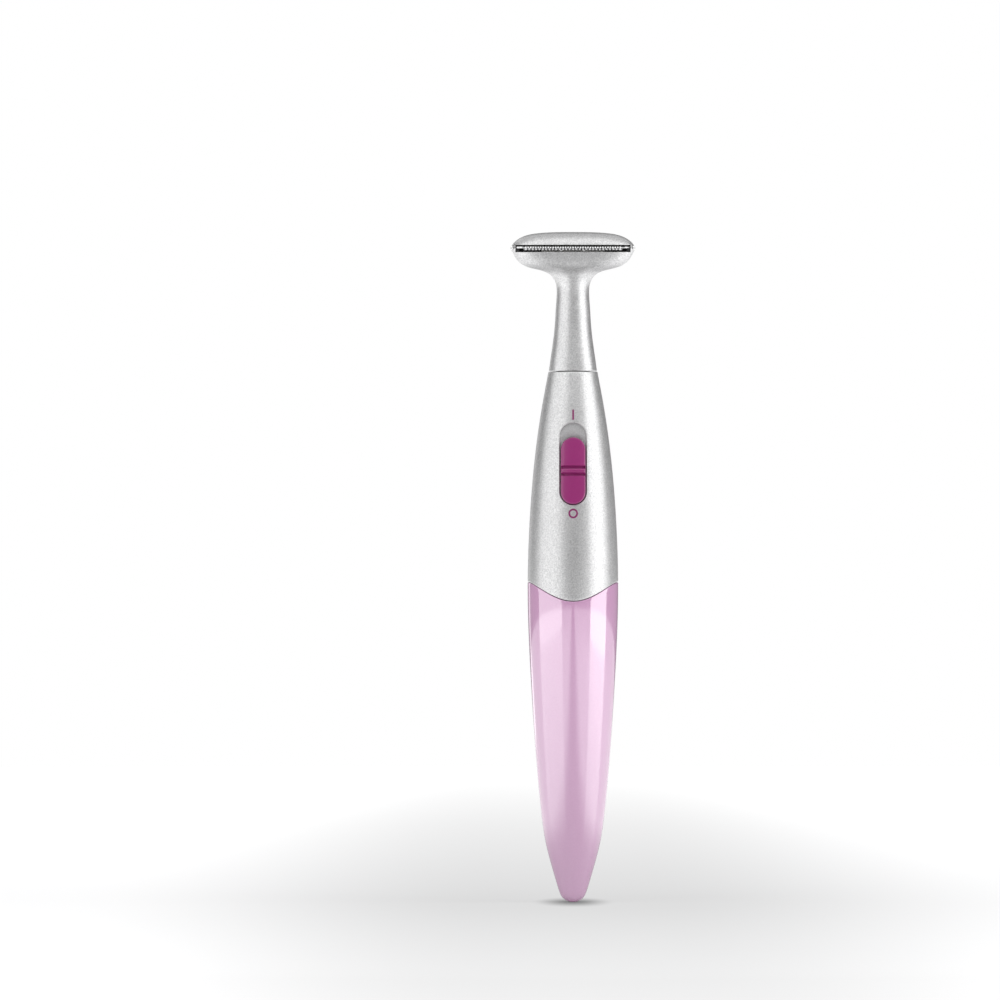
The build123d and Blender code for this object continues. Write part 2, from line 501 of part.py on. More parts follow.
def make_negative_strip():
    """From the bay's foot up the back of the handle to the motor's left terminal."""
    low, top = FOOT_LOW_Z - STRIP - TOUCH, SWITCH_STRIP_TOP_Z
    back, run_low = STRIP_BACK_Y + STRIP, SWITCH_STRIP_TOP_Z - STRIP
    foot = bar(STRIP_HALF_WIDTH, NEGATIVE_FOOT_Y, back, low, low + STRIP)
    rise = bar(STRIP_HALF_WIDTH, STRIP_BACK_Y, back, low, top)
    run = block(-STRIP_OUTER_X, STRIP_HALF_WIDTH, NEGATIVE_RUN_Y, back, run_low, top)
    tail_in, tail_end = STRIP_EDGE - STRIP_OUTER_X, TERMINAL_HALF_DEPTH + TOUCH
    return foot + rise + run + block(-STRIP_OUTER_X, tail_in, tail_end, back, run_low, top)


# ---------------------------------------------------------------- motor
def can_solid(inset, low, high):
    """Round can with two flats, moved in by inset."""
    section = Circle(MOTOR_R - inset) & Rectangle(4 * MOTOR_R, 2 * (MOTOR_FLAT - inset))
    return extrude(Pos(0, 0, low) * section, high - low)


def make_motor_can():
    body = can_solid(0, MOTOR_LOW_Z, MOTOR_HIGH_Z)
    body += cyl(CAN_BOSS_R, MOTOR_HIGH_Z - CAN_TOP / 2, MOTOR_HIGH_Z + CAN_BOSS_RISE)
    body -= can_solid(CAN_WALL, MOTOR_LOW_Z - OVER, MOTOR_HIGH_Z - CAN_TOP)
    body -= cyl(BUSH_HOLE_R, MOTOR_HIGH_Z - 2 * OVER, MOTOR_HIGH_Z + 2 * OVER)
    for side in (-1, 1):
        low, high = MOTOR_HIGH_Z - 2 * OVER, MOTOR_HIGH_Z + 2 * OVER
        body -= cyl(CAN_SCREW_HOLE_R, low, high, x=side * SCREW_X)
    return body


def make_motor_end_cap():
    low = END_CAP_LOW_Z
    plug_inset = CAN_WALL + GAP / 2
    cap = can_solid(TOUCH, low, MOTOR_LOW_Z - TOUCH)
    cap += can_solid(plug_inset, low, MOTOR_LOW_Z + END_CAP_PLUG_TOP)
    cap -= can_solid(END_CAP_WALL, low + END_CAP_FLOOR, MOTOR_LOW_Z + 2 * OVER)
    cap += cyl(END_CAP_BOSS_R, low - END_CAP_BOSS_DROP, low + END_CAP_BOSS_DROP)
    cap -= cyl(BUSH_HOLE_R, low - END_CAP_SINK, low + 2 * OVER)
    thick, depth = TERMINAL_HALF_THICK + GAP, TERMINAL_HALF_DEPTH + GAP
    for side in (-1, 1):
        x_in, x_out = TERMINAL_X - thick, TERMINAL_X + thick
        cap -= side_block(side, x_in, x_out, -depth, depth, low - OVER, low + END_CAP_FLOOR + 3 * GAP)
    return cap


def make_bushes():
    bore, low = SHAFT_R + BUSH_BORE_PLAY, END_CAP_LOW_Z
    front = tube(BUSH_R, bore, MOTOR_HIGH_Z - FRONT_BUSH_SUNK, MOTOR_HIGH_Z + FRONT_BUSH_RISE)
    rear = tube(BUSH_R, bore, low - REAR_BUSH_DROP, low + REAR_BUSH_RISE)
    return front, rear


def make_magnets():
    """Two arc magnets against the round sides of the can."""
    ring = tube(MAGNET_OUT_R, MAGNET_IN_R, MAGNET_LOW_Z, MAGNET_TOP_Z)
    depth = MAGNET_HALF_DEPTH
    halves = [ring & side_block(side, MAGNET_CUT_X, BIG, -depth, depth, 0, 4 * BIG) for side in (-1, 1)]
    return [half.solids()[0] for half in halves]


def make_brushes():
    """Two carbon brushes on either side of the commutator."""
    h = BRUSH_HALF
    return [side_block(side, BRUSH_IN_X, BRUSH_OUT_X, -h, h, BRUSH_Z - h, BRUSH_Z + h) for side in (-1, 1)]


def make_terminals():
    x_in, x_out = TERMINAL_X - TERMINAL_HALF_THICK, TERMINAL_X + TERMINAL_HALF_THICK
    low, high = END_CAP_LOW_Z - TERMINAL_DROP, END_CAP_LOW_Z + TERMINAL_RISE
    depth = TERMINAL_HALF_DEPTH
    return [side_block(side, x_in, x_out, -depth, depth, low, high) for side in (-1, 1)]


def make_motor_screw(x):
    """Slotted screw that holds the drive collar on the motor."""
    top = FLANGE_TOP_Z + SCREW_HEAD_THICK
    head = cyl(SCREW_HEAD_R, FLANGE_TOP_Z, top, x=x)
    reach, half = SCREW_SLOT_HALF_LENGTH, SCREW_SLOT_HALF_WIDTH
    head -= block(x - reach, x + reach, -half, half, top - SCREW_SLOT_DEPTH, top + OVER)
    return head + cyl(SCREW_R, SCREW_LOW_Z, FLANGE_TOP_Z + SCREW_HEAD_SINK, x=x)


# ---------------------------------------------------------------- rotor
def pole_place(k):
    """Turn that brings a pole drawn along +X to its own place."""
    return Rot(0, 0, 360 / POLES * k + 90)


def make_rotor_core():
    """Three-pole laminated core."""
    core = Circle(ROTOR_HUB_R)
    arm = Pos(POLE_X, 0) * Rectangle(POLE_LENGTH, POLE_WIDTH)
    shoe_ring = Circle(ROTOR_R) - Circle(ROTOR_R - ROTOR_SHOE)
    shoe = shoe_ring & (Pos(SHOE_X, 0) * Rectangle(SHOE_LENGTH, SHOE_SPAN))
    for k in range(POLES):
        core += pole_place(k) * (arm + shoe)
    face = core - Circle(SHAFT_R)
    return extrude(Pos(0, 0, ROTOR_LOW_Z) * face, ROTOR_HIGH_Z - ROTOR_LOW_Z)


def make_rotor_windings():
    """One coil round each pole."""
    low, high = ROTOR_LOW_Z - COIL_OVERHANG, ROTOR_HIGH_Z + COIL_OVERHANG
    outer = block(COIL_IN_X, COIL_OUT_X, -COIL_HALF_WIDTH, COIL_HALF_WIDTH, low, high)
    outer = fillet(outer.edges().filter_by(Axis.X), COIL_ROUND)
    half = POLE_WIDTH / 2 + TOUCH
    hole = block(0, ROTOR_R, -half, half, ROTOR_LOW_Z - TOUCH, ROTOR_HIGH_Z + TOUCH)
    return [pole_place(k) * (outer - hole) for k in range(POLES)]


def make_commutator():
    return tube(COMMUTATOR_R, SHAFT_R, COMMUTATOR_LOW_Z, COMMUTATOR_TOP_Z)


def make_motor_shaft():
    return chamfer(cyl(SHAFT_R, SHAFT_LOW_Z, SHAFT_TOP_Z).edges(), SHAFT_CHAMFER)


def make_drive_spindle():
    """Sleeve on the motor's shaft that carries the eccentric pin."""
    body = cyl(SPINDLE_R, SPINDLE_LOW_Z, SPINDLE_TOP_Z)
    body -= cyl(SHAFT_R, SPINDLE_LOW_Z - OVER, SHAFT_TOP_Z)
    return body - cyl(ECCENTRIC_R, ECCENTRIC_LOW_Z, SPINDLE_TOP_Z + OVER, y=-ECCENTRICITY)


def make_eccentric_pin():
    pin = cyl(ECCENTRIC_R, ECCENTRIC_LOW_Z, ECCENTRIC_TOP_Z, y=-ECCENTRICITY)
    return chamfer(pin.edges().group_by(Axis.Z)[-1], ECCENTRIC_CHAMFER)


# ---------------------------------------------------------------- drive collar and its rings
def ring_split(half_width):
    """The front of the key's place, which the ring and its groove leave out."""
    return bar(half_width, KEYWAY_IN_Y, BIG, WAIST_TOP_Z, SPIGOT_TOP_Z)


def make_drive_collar():
    """Screwed to the motor's face, it carries the spigot that the head plugs on to."""
    body = cyl(FLANGE_R, MOTOR_HIGH_Z + TOUCH, FLANGE_TOP_Z)
    body += cyl(WAIST_R, WAIST_LOW_Z, WAIST_TOP_Z)
    body += cyl(SHOULDER_R, SHOULDER_LOW_Z, HEAD_JOINT_Z - HOUSING_WALL - GAP)
    body += cyl(SPIGOT_R, SPIGOT_LOW_Z, SPIGOT_TOP_Z)
    body += bar(KEY_HALF_WIDTH, KEY_IN_Y, KEY_OUT_Y, HEAD_JOINT_Z + 3 * GAP, KEY_TOP_Z)
    body -= cyl(SPINDLE_R + COLLAR_BORE_PLAY, MOTOR_HIGH_Z - OVER, SPIGOT_TOP_Z + OVER)
    body -= cyl(SEAL_SEAT_R, SEAL_SEAT_Z, SPIGOT_TOP_Z + OVER)
    groove = tube(SPIGOT_R + OVER, RING_GROOVE_R, RING_GROOVE_LOW_Z, RING_GROOVE_TOP_Z)
    body -= groove - ring_split(RING_SPLIT - GAP)
    for side in (-1, 1):
        body -= cyl(SCREW_HOLE_R, MOTOR_HIGH_Z - OVER, FLANGE_TOP_Z + OVER / 2, x=side * SCREW_X)
    return body


def make_spindle_seal():
    """Lip seal round the spindle at the top of the spigot."""
    return tube(LIP_SEAL_R, SPINDLE_R + LIP_SEAL_PLAY, SEAL_SEAT_Z + TOUCH, LIP_SEAL_TOP_Z)


def make_socket_ring():
    """Rubber ring, split at the key, that grips the inside of the head's socket."""
    low, high = RING_GROOVE_LOW_Z + RING_PLAY, RING_GROOVE_TOP_Z - RING_PLAY
    return tube(SPIGOT_R + GAP, RING_IN_R, low, high) - ring_split(RING_SPLIT)


# ---------------------------------------------------------------- trimmer head
def head_section(half_width, half_depth, z):
    """Level outline of the head: a circle at the neck, long with a flatter front at the rim."""
    squareness = (half_width - BOWL[0][0]) / (BOWL[-1][0] - BOWL[0][0])
    power = ROUND_POWER + (RIM_POWER - ROUND_POWER) * squareness
    front = 1 - (1 - FRONT_SHARE) * squareness
    points = []
    for step in range(SECTION_POINTS):
        angle = math.radians(90 + 360 / SECTION_POINTS * step)
        c, s = math.cos(angle), math.sin(angle)
        depth = half_depth * (front if s < 0 else 1)
        x = half_width * math.copysign(abs(c) ** (2 / power), c)
        points.append((x, depth * math.copysign(abs(s) ** (2 / power), s), z))
    return Wire([Spline(points, periodic=True)])


def head_loft(sections):
    return Solid.make_loft([head_section(*section) for section in sections])


def slot_cut():
    return bar(SLOT_HALF_WIDTH, SLOT_FRONT_Y, SLOT_BACK_Y, SLOT_LOW_Z, SLOT_HIGH_Z)


def cavity(low, high):
    width, depth = CAVITY
    room = bar(width / 2, -depth / 2, depth / 2, low, high)
    return fillet(room.edges().filter_by(Axis.Z), CAVITY_CORNER)


def make_head_shell():
    """Neck and bowl in one, with the socket, its keyway and the lower half of the blade room."""
    shell = neck_body(0) + (head_loft(BOWL) & below(RIM_Z - SEAM_GAP / 3))
    shell -= neck_body(NECK_WALL) & above(SOCKET_TOP_Z - 5 * GAP)
    shell -= cyl(NECK[-1][0] - NECK_WALL, NECK[-1][1] - GAP, CAVITY_FLOOR_Z + OVER)
    shell -= cyl(SOCKET_R, HEAD_JOINT_Z - OVER, SOCKET_TOP_Z)
    keyway_low = HEAD_JOINT_Z - OVER
    shell -= bar(KEYWAY_HALF_WIDTH, KEYWAY_IN_Y, KEYWAY_OUT_Y, keyway_low, KEYWAY_TOP_Z)
    shell -= cavity(CAVITY_FLOOR_Z, RIM_Z + OVER)
    shell -= slot_cut()
    return shell & above(HEAD_JOINT_Z + SEAM_GAP / 2)


def make_head_cap():
    cap = head_loft(DOME) & above(RIM_Z + SEAM_GAP / 3)
    cap -= cavity(RIM_Z - OVER, CAVITY_ROOF_Z)
    return cap - slot_cut()


def make_comb_catch(side, shell, cap):
    """Tiny double bead on the rim near one end, where a guide comb clips on."""
    x, y, post = side * CATCH_X, CATCH_Y, CATCH_RISE + GAP / 2
    pair = cyl(CATCH_R, RIM_Z - post, RIM_Z + post, x=x, y=y)
    for rise in (-CATCH_RISE, CATCH_RISE):
        pair += Pos(x, y, RIM_Z + rise) * Sphere(CATCH_BEAD_R)
    return (pair - shell - cap).solids().sort_by(SortBy.VOLUME)[-1]


# ---------------------------------------------------------------- blades
def toothed_plate(teeth, pitch, half_width, back_y, low_z, tip_y):
    """Flat steel plate whose front edge is cut into round-ended teeth."""
    root_y = tip_y + TOOTH_LENGTH
    plate = bar(half_width, root_y, back_y, low_z, low_z + BLADE_THICK)
    tooth = SlotOverall(TOOTH_LENGTH + TOOTH_ROOT, pitch * TOOTH_SHARE, rotation=90)
    first, mid_y = -(teeth - 1) / 2 * pitch, (tip_y + root_y + TOOTH_ROOT) / 2
    row = Sketch()
    for i in range(teeth):
        row += Pos(first + i * pitch, mid_y) * tooth
    return plate + extrude(Pos(0, 0, low_z) * row, BLADE_THICK)


def make_comb_blade():
    """Fixed upper blade, with a solid guard at each end and a tab held inside the head."""
    low, top = COMB_LOW_Z, COMB_LOW_Z + BLADE_THICK
    plate = toothed_plate(COMB_TEETH, COMB_PITCH, COMB_HALF_WIDTH, COMB_BACK_Y, low, TEETH_Y)
    plate += bar(TAB_HALF_WIDTH, COMB_BACK_Y - BLADE_THICK / 2, TAB_BACK_Y, low, top)
    front = TEETH_Y + GUARD_SETBACK
    for side in (-1, 1):
        plate += side_block(side, GUARD_INNER_X, COMB_HALF_WIDTH, front, GUARD_BACK_Y, low, top)
    return plate


def make_cutter_blade():
    tip = TEETH_Y + CUTTER_SETBACK
    return toothed_plate(
        CUTTER_TEETH, CUTTER_PITCH, CUTTER_HALF_WIDTH, CUTTER_BACK_Y, CUTTER_LOW_Z, tip
    )


def make_cutter_carrier():
    """Plastic slide under the cutter, with a slot for the lever's round tip."""
    low, high = CARRIER_LOW_Z, CARRIER_TOP_Z
    body = bar(CARRIER_HALF_WIDTH, CARRIER_FRONT_Y, CARRIER_BACK_Y, low, high)
    riser_top = CUTTER_LOW_Z - TOUCH / 2
    body += bar(RISER_HALF_WIDTH, RISER_FRONT_Y, RISER_BACK_Y, low + RISER_LIFT, riser_top)
    depth = CARRIER_SLOT_HALF_DEPTH
    return body - bar(CARRIER_SLOT_HALF_WIDTH, -depth, depth, low - OVER, high - CARRIER_ROOF)


def make_blade_seat():
    """Black seat that carries the comb and closes the ends of the slot."""
    low, high = SLOT_LOW_Z + GAP / 2, COMB_LOW_Z - TOUCH
    seat = bar(SEAT_HALF_WIDTH, SEAT_FRONT_Y, SEAT_BACK_Y, low, high)
    seat += bar(HOLD_HALF_WIDTH, SEAT_FRONT_Y, HOLD_HALF_DEPTH, low, high)
    arm_back = SEAT_BACK_Y - GAP
    for side in (-1, 1):
        seat += side_block(side, SEAT_ARM_X, SEAT_HALF_WIDTH, SEAT_ARM_FRONT_Y, arm_back, low, high)
    return seat


def make_comb_clamp():
    """Block that presses the comb's tab on to the seat."""
    low, high = COMB_LOW_Z + BLADE_THICK + TOUCH, CAVITY_ROOF_Z - CLAMP_HEADROOM
    return bar(HOLD_HALF_WIDTH, -HOLD_HALF_DEPTH, HOLD_HALF_DEPTH, low, high)


def make_blade_spring():
    """Leaf spring that holds the cutter up against the comb."""
    low = CAVITY_FLOOR_Z + TOUCH
    leaf = bar(LEAF_HALF_WIDTH, LEAF_FRONT_Y, LEAF_BACK_Y, low, low + LEAF_THICK)
    foot_low, foot_top = low + LEAF_THICK / 2, low + LEAF_FOOT_TOP
    for side in (-1, 1):
        foot = (LEAF_FOOT_IN, LEAF_FOOT_OUT, LEAF_FRONT_Y, LEAF_BACK_Y, foot_low, foot_top)
        leaf += side_block(side, *foot)
    return leaf


# ---------------------------------------------------------------- rocking lever
def make_lever_bracket():
    """Two cheeks joined by a ring, pressed into the neck to carry the lever's pin."""
    body = neck_body(NECK_WALL + BRACKET_INSET) & between(BRACKET_LOW_Z, BRACKET_TOP_Z)
    half = LEVER_HALF_THICK + BRACKET_PLAY
    body -= bar(NECK[0][0], -half, half, BRACKET_SLOT_Z, BRACKET_TOP_Z + OVER)
    window_low = BRACKET_LOW_Z - OVER
    body -= bar(BRACKET_WINDOW_HALF_WIDTH, -half, half, window_low, BRACKET_WINDOW_TOP_Z)
    return body - rod_y(PIVOT_R, PIVOT_Z, -NECK[0][0], NECK[0][0])


def make_lever_pin():
    return rod_y(PIN_R, PIVOT_Z, -PIN_HALF_LENGTH, PIN_HALF_LENGTH)


def make_swing_lever():
    """Rocker: a fork round the eccentric pin below, a hub on the pin, a round tip in the carrier."""
    t = LEVER_HALF_THICK
    prong_in = 2 * ECCENTRICITY + ECCENTRIC_R + FORK_PLAY
    body = bar(LEVER_BODY_HALF_WIDTH, -t, t, LEVER_BODY_LOW_Z, LEVER_BODY_TOP_Z)
    body += bar(FORK_HALF_WIDTH, -t, t, FORK_BRIDGE_Z, FORK_TOP_Z)
    for side in (-1, 1):
        prong_top = FORK_BRIDGE_Z + 5 * GAP
        body += side_block(side, prong_in, FORK_HALF_WIDTH, -t, t, FORK_LOW_Z, prong_top)
    body += rod_y(LEVER_HUB_R, PIVOT_Z, -t, t)
    body += bar(LEVER_ARM_HALF_WIDTH, -t, t, LEVER_BODY_TOP_Z - OVER, LEVER_TIP_Z)
    body += rod_y(LEVER_TIP_R, LEVER_TIP_Z, -t, t)
    return body - rod_y(LEVER_BORE_R, PIVOT_Z, -t - OVER, t + OVER)


# ---------------------------------------------------------------- write every node
def save_handle():
    save("upper_housing", make_upper_housing())
    save("battery_cover", make_battery_cover())
    save("switch_knob", make_switch_knob())
    save("switch_slider", make_switch_slider())
    save("switch_wiper", make_switch_wiper())
    save("chassis_frame", make_chassis_frame())
    save("cover_seal", make_cover_seal())
    save("battery_cell", make_battery_cell())
    save("positive_contact", make_positive_contact())
    save("negative_spring", make_negative_spring())
    save("positive_strip", make_positive_strip())
    save("negative_strip", make_negative_strip())
    save("motor_strip", make_motor_strip())


def save_motor():
    save("motor_can", make_motor_can())
    save("motor_end_cap", make_motor_end_cap())
    front, rear = make_bushes()
    save("front_bush", front)
    save("rear_bush", rear)
    save("motor_magnets", *make_magnets())
    save("motor_brushes", *make_brushes())
    save("motor_terminals", *make_terminals())
    save("motor_screws", *[make_motor_screw(side * SCREW_X) for side in (-1, 1)])
    save("rotor_core", make_rotor_core())
    save("rotor_windings", *make_rotor_windings())
    save("commutator", make_commutator())
    save("motor_shaft", make_motor_shaft())


def save_drive():
    save("drive_spindle", make_drive_spindle())
    save("eccentric_pin", make_eccentric_pin())
    save("drive_collar", make_drive_collar())
    save("spindle_seal", make_spindle_seal())
    save("socket_ring", make_socket_ring())
    save("lever_bracket", make_lever_bracket())
    save("lever_pin", make_lever_pin())
    save("swing_lever", make_swing_lever())


def save_head():
    shell, cap = make_head_shell(), make_head_cap()
    save("head_shell", shell)
    save("head_cap", cap)
    save("comb_catches", *[make_comb_catch(side, shell, cap) for side in (-1, 1)])
    save("comb_blade", make_comb_blade())
    save("cutter_blade", make_cutter_blade())
    save("cutter_carrier", make_cutter_carrier())
    save("blade_seat", make_blade_seat())
    save("comb_clamp", make_comb_clamp())
    save("blade_spring", make_blade_spring())


save_handle()
save_motor()
save_drive()
save_head()
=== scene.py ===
import json
import math

import bmesh
import bpy
import numpy as np
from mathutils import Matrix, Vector
from mathutils.bvhtree import BVHTree


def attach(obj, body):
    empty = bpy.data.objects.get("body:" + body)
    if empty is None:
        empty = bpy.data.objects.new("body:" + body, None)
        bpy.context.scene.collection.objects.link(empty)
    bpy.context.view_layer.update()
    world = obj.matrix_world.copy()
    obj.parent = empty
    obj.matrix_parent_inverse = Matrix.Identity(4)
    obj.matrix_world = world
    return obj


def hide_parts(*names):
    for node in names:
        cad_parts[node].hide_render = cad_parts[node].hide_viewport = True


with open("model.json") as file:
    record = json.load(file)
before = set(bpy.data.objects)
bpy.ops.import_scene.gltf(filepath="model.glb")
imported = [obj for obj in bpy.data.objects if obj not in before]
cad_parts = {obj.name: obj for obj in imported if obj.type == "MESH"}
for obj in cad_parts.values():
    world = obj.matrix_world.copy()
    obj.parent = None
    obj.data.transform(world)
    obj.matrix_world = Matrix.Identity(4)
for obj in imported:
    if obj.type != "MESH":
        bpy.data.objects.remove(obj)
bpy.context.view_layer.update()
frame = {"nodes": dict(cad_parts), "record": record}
mm = 0.001

# Outline of the handle as (radius, height) in mm, from the rounded tip to the head joint.
handleOutline = [
    (0.0, 0.0), (1.0, 0.14), (2.0, 0.6), (2.75, 1.27), (3.42, 2.6), (4.32, 5.45), (5.56, 9.7),
    (7.05, 15.7), (8.14, 23.3), (9.51, 38.6), (10.5, 53.8), (11.22, 68.0), (11.47, 80.0),
    (11.1, 94.4), (10.0, 109.6), (8.0, 124.8), (6.2, 134.6),
]
seam = {"sideZ": 81.3, "dip": 4.9, "half": 11.87, "gap": 0.16}


# Natural cubic curve through points of any dimension, by chord length; returns f(t), t in 0..1
def splineThrough(points):
    pts = np.array(points, dtype=float)
    t = np.concatenate([[0.0], np.cumsum(np.linalg.norm(np.diff(pts, axis=0), axis=1))])
    n = len(t)
    h = np.diff(t)
    a = np.zeros((n, n))
    b = np.zeros_like(pts)
    a[0, 0] = a[-1, -1] = 1.0
    for i in range(1, n - 1):
        a[i, i - 1], a[i, i], a[i, i + 1] = h[i - 1], 2 * (h[i - 1] + h[i]), h[i]
        b[i] = 6 * ((pts[i + 1] - pts[i]) / h[i] - (pts[i] - pts[i - 1]) / h[i - 1])
    m = np.linalg.solve(a, b)

    def at(share):
        s = min(max(share, 0.0), 1.0) * t[-1]
        i = min(int(np.searchsorted(t, s, side="right")) - 1, n - 2)
        u, v = s - t[i], t[i + 1] - s
        return (m[i] * v ** 3 + m[i + 1] * u ** 3) / (6 * h[i]) + \
            (pts[i] / h[i] - m[i] * h[i] / 6) * v + (pts[i + 1] / h[i] - m[i + 1] * h[i] / 6) * u

    return at


handleCurve = splineThrough(handleOutline)
sampleCount = 3000
handleSamples = np.array([handleCurve(i / sampleCount) for i in range(sampleCount + 1)])


def handleRadius(z):
    return float(np.interp(z, handleSamples[:, 1], handleSamples[:, 0]))


def newObject(name, mesh, body, material, replaced=()):
    obj = bpy.data.objects.new(name, mesh)
    bpy.context.scene.collection.objects.link(obj)
    if material:
        mesh.materials.clear()
        mesh.materials.append(material)
    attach(obj, body)
    if replaced:
        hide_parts(*replaced)
    return obj


def meshFrom(name, verts, faces, smooth=True):
    mesh = bpy.data.meshes.new(name)
    mesh.from_pydata([tuple(c * mm for c in v) for v in verts], [], faces)
    bm = bmesh.new()
    bm.from_mesh(mesh)
    bmesh.ops.recalc_face_normals(bm, faces=bm.faces)
    bm.to_mesh(mesh)
    bm.free()
    mesh.polygons.foreach_set("use_smooth", [smooth] * len(mesh.polygons))
    mesh.update()
    return mesh


# Closed skin through rows of points that each go once round; loop joins the last row to the first
def gridMesh(name, rows, loop=False, poles=(False, False)):
    verts, faces = [], []
    count = len(rows[0])
    for row in rows:
        verts.extend(row)
    last = len(rows) if loop else len(rows) - 1
    for i in range(last):
        a, b = i * count, ((i + 1) % len(rows)) * count
        for j in range(count):
            k = (j + 1) % count
            faces.append((a + j, a + k, b + k, b + j))
    for end, use in zip((0, (len(rows) - 1) * count), poles):
        if use:
            centre = np.mean(np.array(verts[end:end + count]), axis=0)
            verts.append(tuple(centre))
            faces.extend((end + j, end + (j + 1) % count, len(verts) - 1) for j in range(count))
    return meshFrom(name, verts, faces)


# Steps round a quarter circle of that size, as (inset, drop)
def quarter(steps, size):
    angles = [math.pi / 2 * k / steps for k in range(steps + 1)]
    return [(size * (1 - math.cos(a)), size * (1 - math.sin(a))) for a in angles]


# Boxes as (low corner, high corner) in mm, each with rounded edges, in one mesh
def boxMesh(name, boxes, bevel=0.0, segments=2):
    bm = bmesh.new()
    for low, high in boxes:
        made = bmesh.ops.create_cube(bm, size=1.0)["verts"]
        for v in made:
            for axis in range(3):
                mid, span = (low[axis] + high[axis]) / 2, high[axis] - low[axis]
                v.co[axis] = (mid + v.co[axis] * span) * mm
        if bevel:
            edges = list({e for v in made for e in v.link_edges})
            bmesh.ops.bevel(bm, geom=edges, offset=bevel * mm, segments=segments, affect="EDGES", profile=0.5)
    mesh = bpy.data.meshes.new(name)
    bm.to_mesh(mesh)
    bm.free()
    return mesh


# Takes the cutter's shape out of the mesh; what is left of the old skin keeps its old shading
def cutOut(mesh, cutter):
    host = bpy.data.objects.new("host", mesh)
    tool = bpy.data.objects.new("tool", cutter)
    for obj in (host, tool):
        bpy.context.scene.collection.objects.link(obj)
    mod = host.modifiers.new("cut", "BOOLEAN")
    mod.operation, mod.solver, mod.object = "DIFFERENCE", "EXACT", tool
    done = bpy.data.meshes.new_from_object(host.evaluated_get(bpy.context.evaluated_depsgraph_get()))
    for obj in (host, tool):
        bpy.data.objects.remove(obj)
    restoreNormals(done, mesh)
    return done


skinReach, skinTurn = 2e-6, 0.8    # how near, in metres, and how well turned a face has to be


# Loops that still lie on the original skin get its smooth normals
def restoreNormals(mesh, original):
    original.calc_loop_triangles()
    verts = [v.co.copy() for v in original.vertices]
    normals = [v.normal.copy() for v in original.vertices]
    triangles = [tuple(t.vertices) for t in original.loop_triangles]
    tree = BVHTree.FromPolygons(verts, triangles)
    flat = [None] * len(mesh.loops)
    for poly in mesh.polygons:
        poly.use_smooth = True
        for li in poly.loop_indices:
            co = mesh.vertices[mesh.loops[li].vertex_index].co
            _, faceNormal, index, distance = tree.find_nearest(co)
            if distance < skinReach and poly.normal.dot(faceNormal) > skinTurn:
                weights = [1 / ((co - verts[v]).length + 1e-9) for v in triangles[index]]
                total = Vector()
                for weight, v in zip(weights, triangles[index]):
                    total += normals[v] * weight
                flat[li] = total.normalized()
            else:
                flat[li] = poly.normal.copy()
    mesh.normals_split_custom_set(flat)


finishBase = {"stretch": (1, 1, 1), "driftScale": 60, "driftShare": 0.5, "grainScale": 6000,
              "grainShare": 0.5, "roughScale": 900, "roughSpread": 0.03, "roughDetail": 3.0,
              "colorDetail": 2.0, "bump": 0.1, "bumpDepth": 0.00002, "metallic": 0.0,
              "coat": 0.0, "coatRoughness": 0.05, "coatIor": 1.5, "ior": 1.5, "secondShade": 0.93,
              "noiseLow": 0.3, "noiseHigh": 0.7}


# Procedural finish: colour drift, grain and bump at real size, from Object coordinates in metres
def nodeMaterial(name, own):
    s = {**finishBase, **own}
    mat = bpy.data.materials.new(name)
    mat.use_nodes = True
    tree = mat.node_tree
    shader = tree.nodes["Principled BSDF"]
    links = tree.links
    place = tree.nodes.new("ShaderNodeTexCoord")
    mapping = tree.nodes.new("ShaderNodeMapping")
    mapping.inputs["Scale"].default_value = s["stretch"]
    links.new(place.outputs["Object"], mapping.inputs["Vector"])

    def noise(scale, detail):
        node = tree.nodes.new("ShaderNodeTexNoise")
        node.inputs["Scale"].default_value = scale
        node.inputs["Detail"].default_value = detail
        links.new(mapping.outputs["Vector"], node.inputs["Vector"])
        return node.outputs["Fac"]

    def ramp(source, low, high):
        node = tree.nodes.new("ShaderNodeMapRange")
        for label, value in (("From Min", s["noiseLow"]), ("From Max", s["noiseHigh"]), ("To Min", low),
                             ("To Max", high)):
            node.inputs[label].default_value = value
        links.new(source, node.inputs["Value"])
        return node.outputs["Result"]

    drift, grain = (noise(s[key], s["colorDetail"]) for key in ("driftScale", "grainScale"))
    mix = tree.nodes.new("ShaderNodeMix")
    mix.data_type = "RGBA"
    mix.inputs["A"].default_value = (*s["color"], 1)
    mix.inputs["B"].default_value = (*s.get("color2", tuple(c * s["secondShade"] for c in s["color"])), 1)
    blendBy = tree.nodes.new("ShaderNodeMath")
    blendBy.operation = "ADD"
    links.new(ramp(drift, 0.0, s["driftShare"]), blendBy.inputs[0])
    links.new(ramp(grain, 0.0, s["grainShare"]), blendBy.inputs[1])
    links.new(blendBy.outputs["Value"], mix.inputs["Factor"])
    links.new(mix.outputs["Result"], shader.inputs["Base Color"])
    rough = ramp(noise(s["roughScale"], s["roughDetail"]), s["roughness"] - s["roughSpread"],
                 s["roughness"] + s["roughSpread"])
    links.new(rough, shader.inputs["Roughness"])
    bump = tree.nodes.new("ShaderNodeBump")
    bump.inputs["Strength"].default_value = s["bump"]
    bump.inputs["Distance"].default_value = s["bumpDepth"]
    links.new(grain, bump.inputs["Height"])
    links.new(bump.outputs["Normal"], shader.inputs["Normal"])
    for label, key in (("Metallic", "metallic"), ("Coat Weight", "coat"), ("Coat Roughness", "coatRoughness"),
                       ("Coat IOR", "coatIor"), ("IOR", "ior")):
        shader.inputs[label].default_value = s[key]
    shader.inputs["Emission Color"].default_value = (1, 1, 1, 1)
    return mat


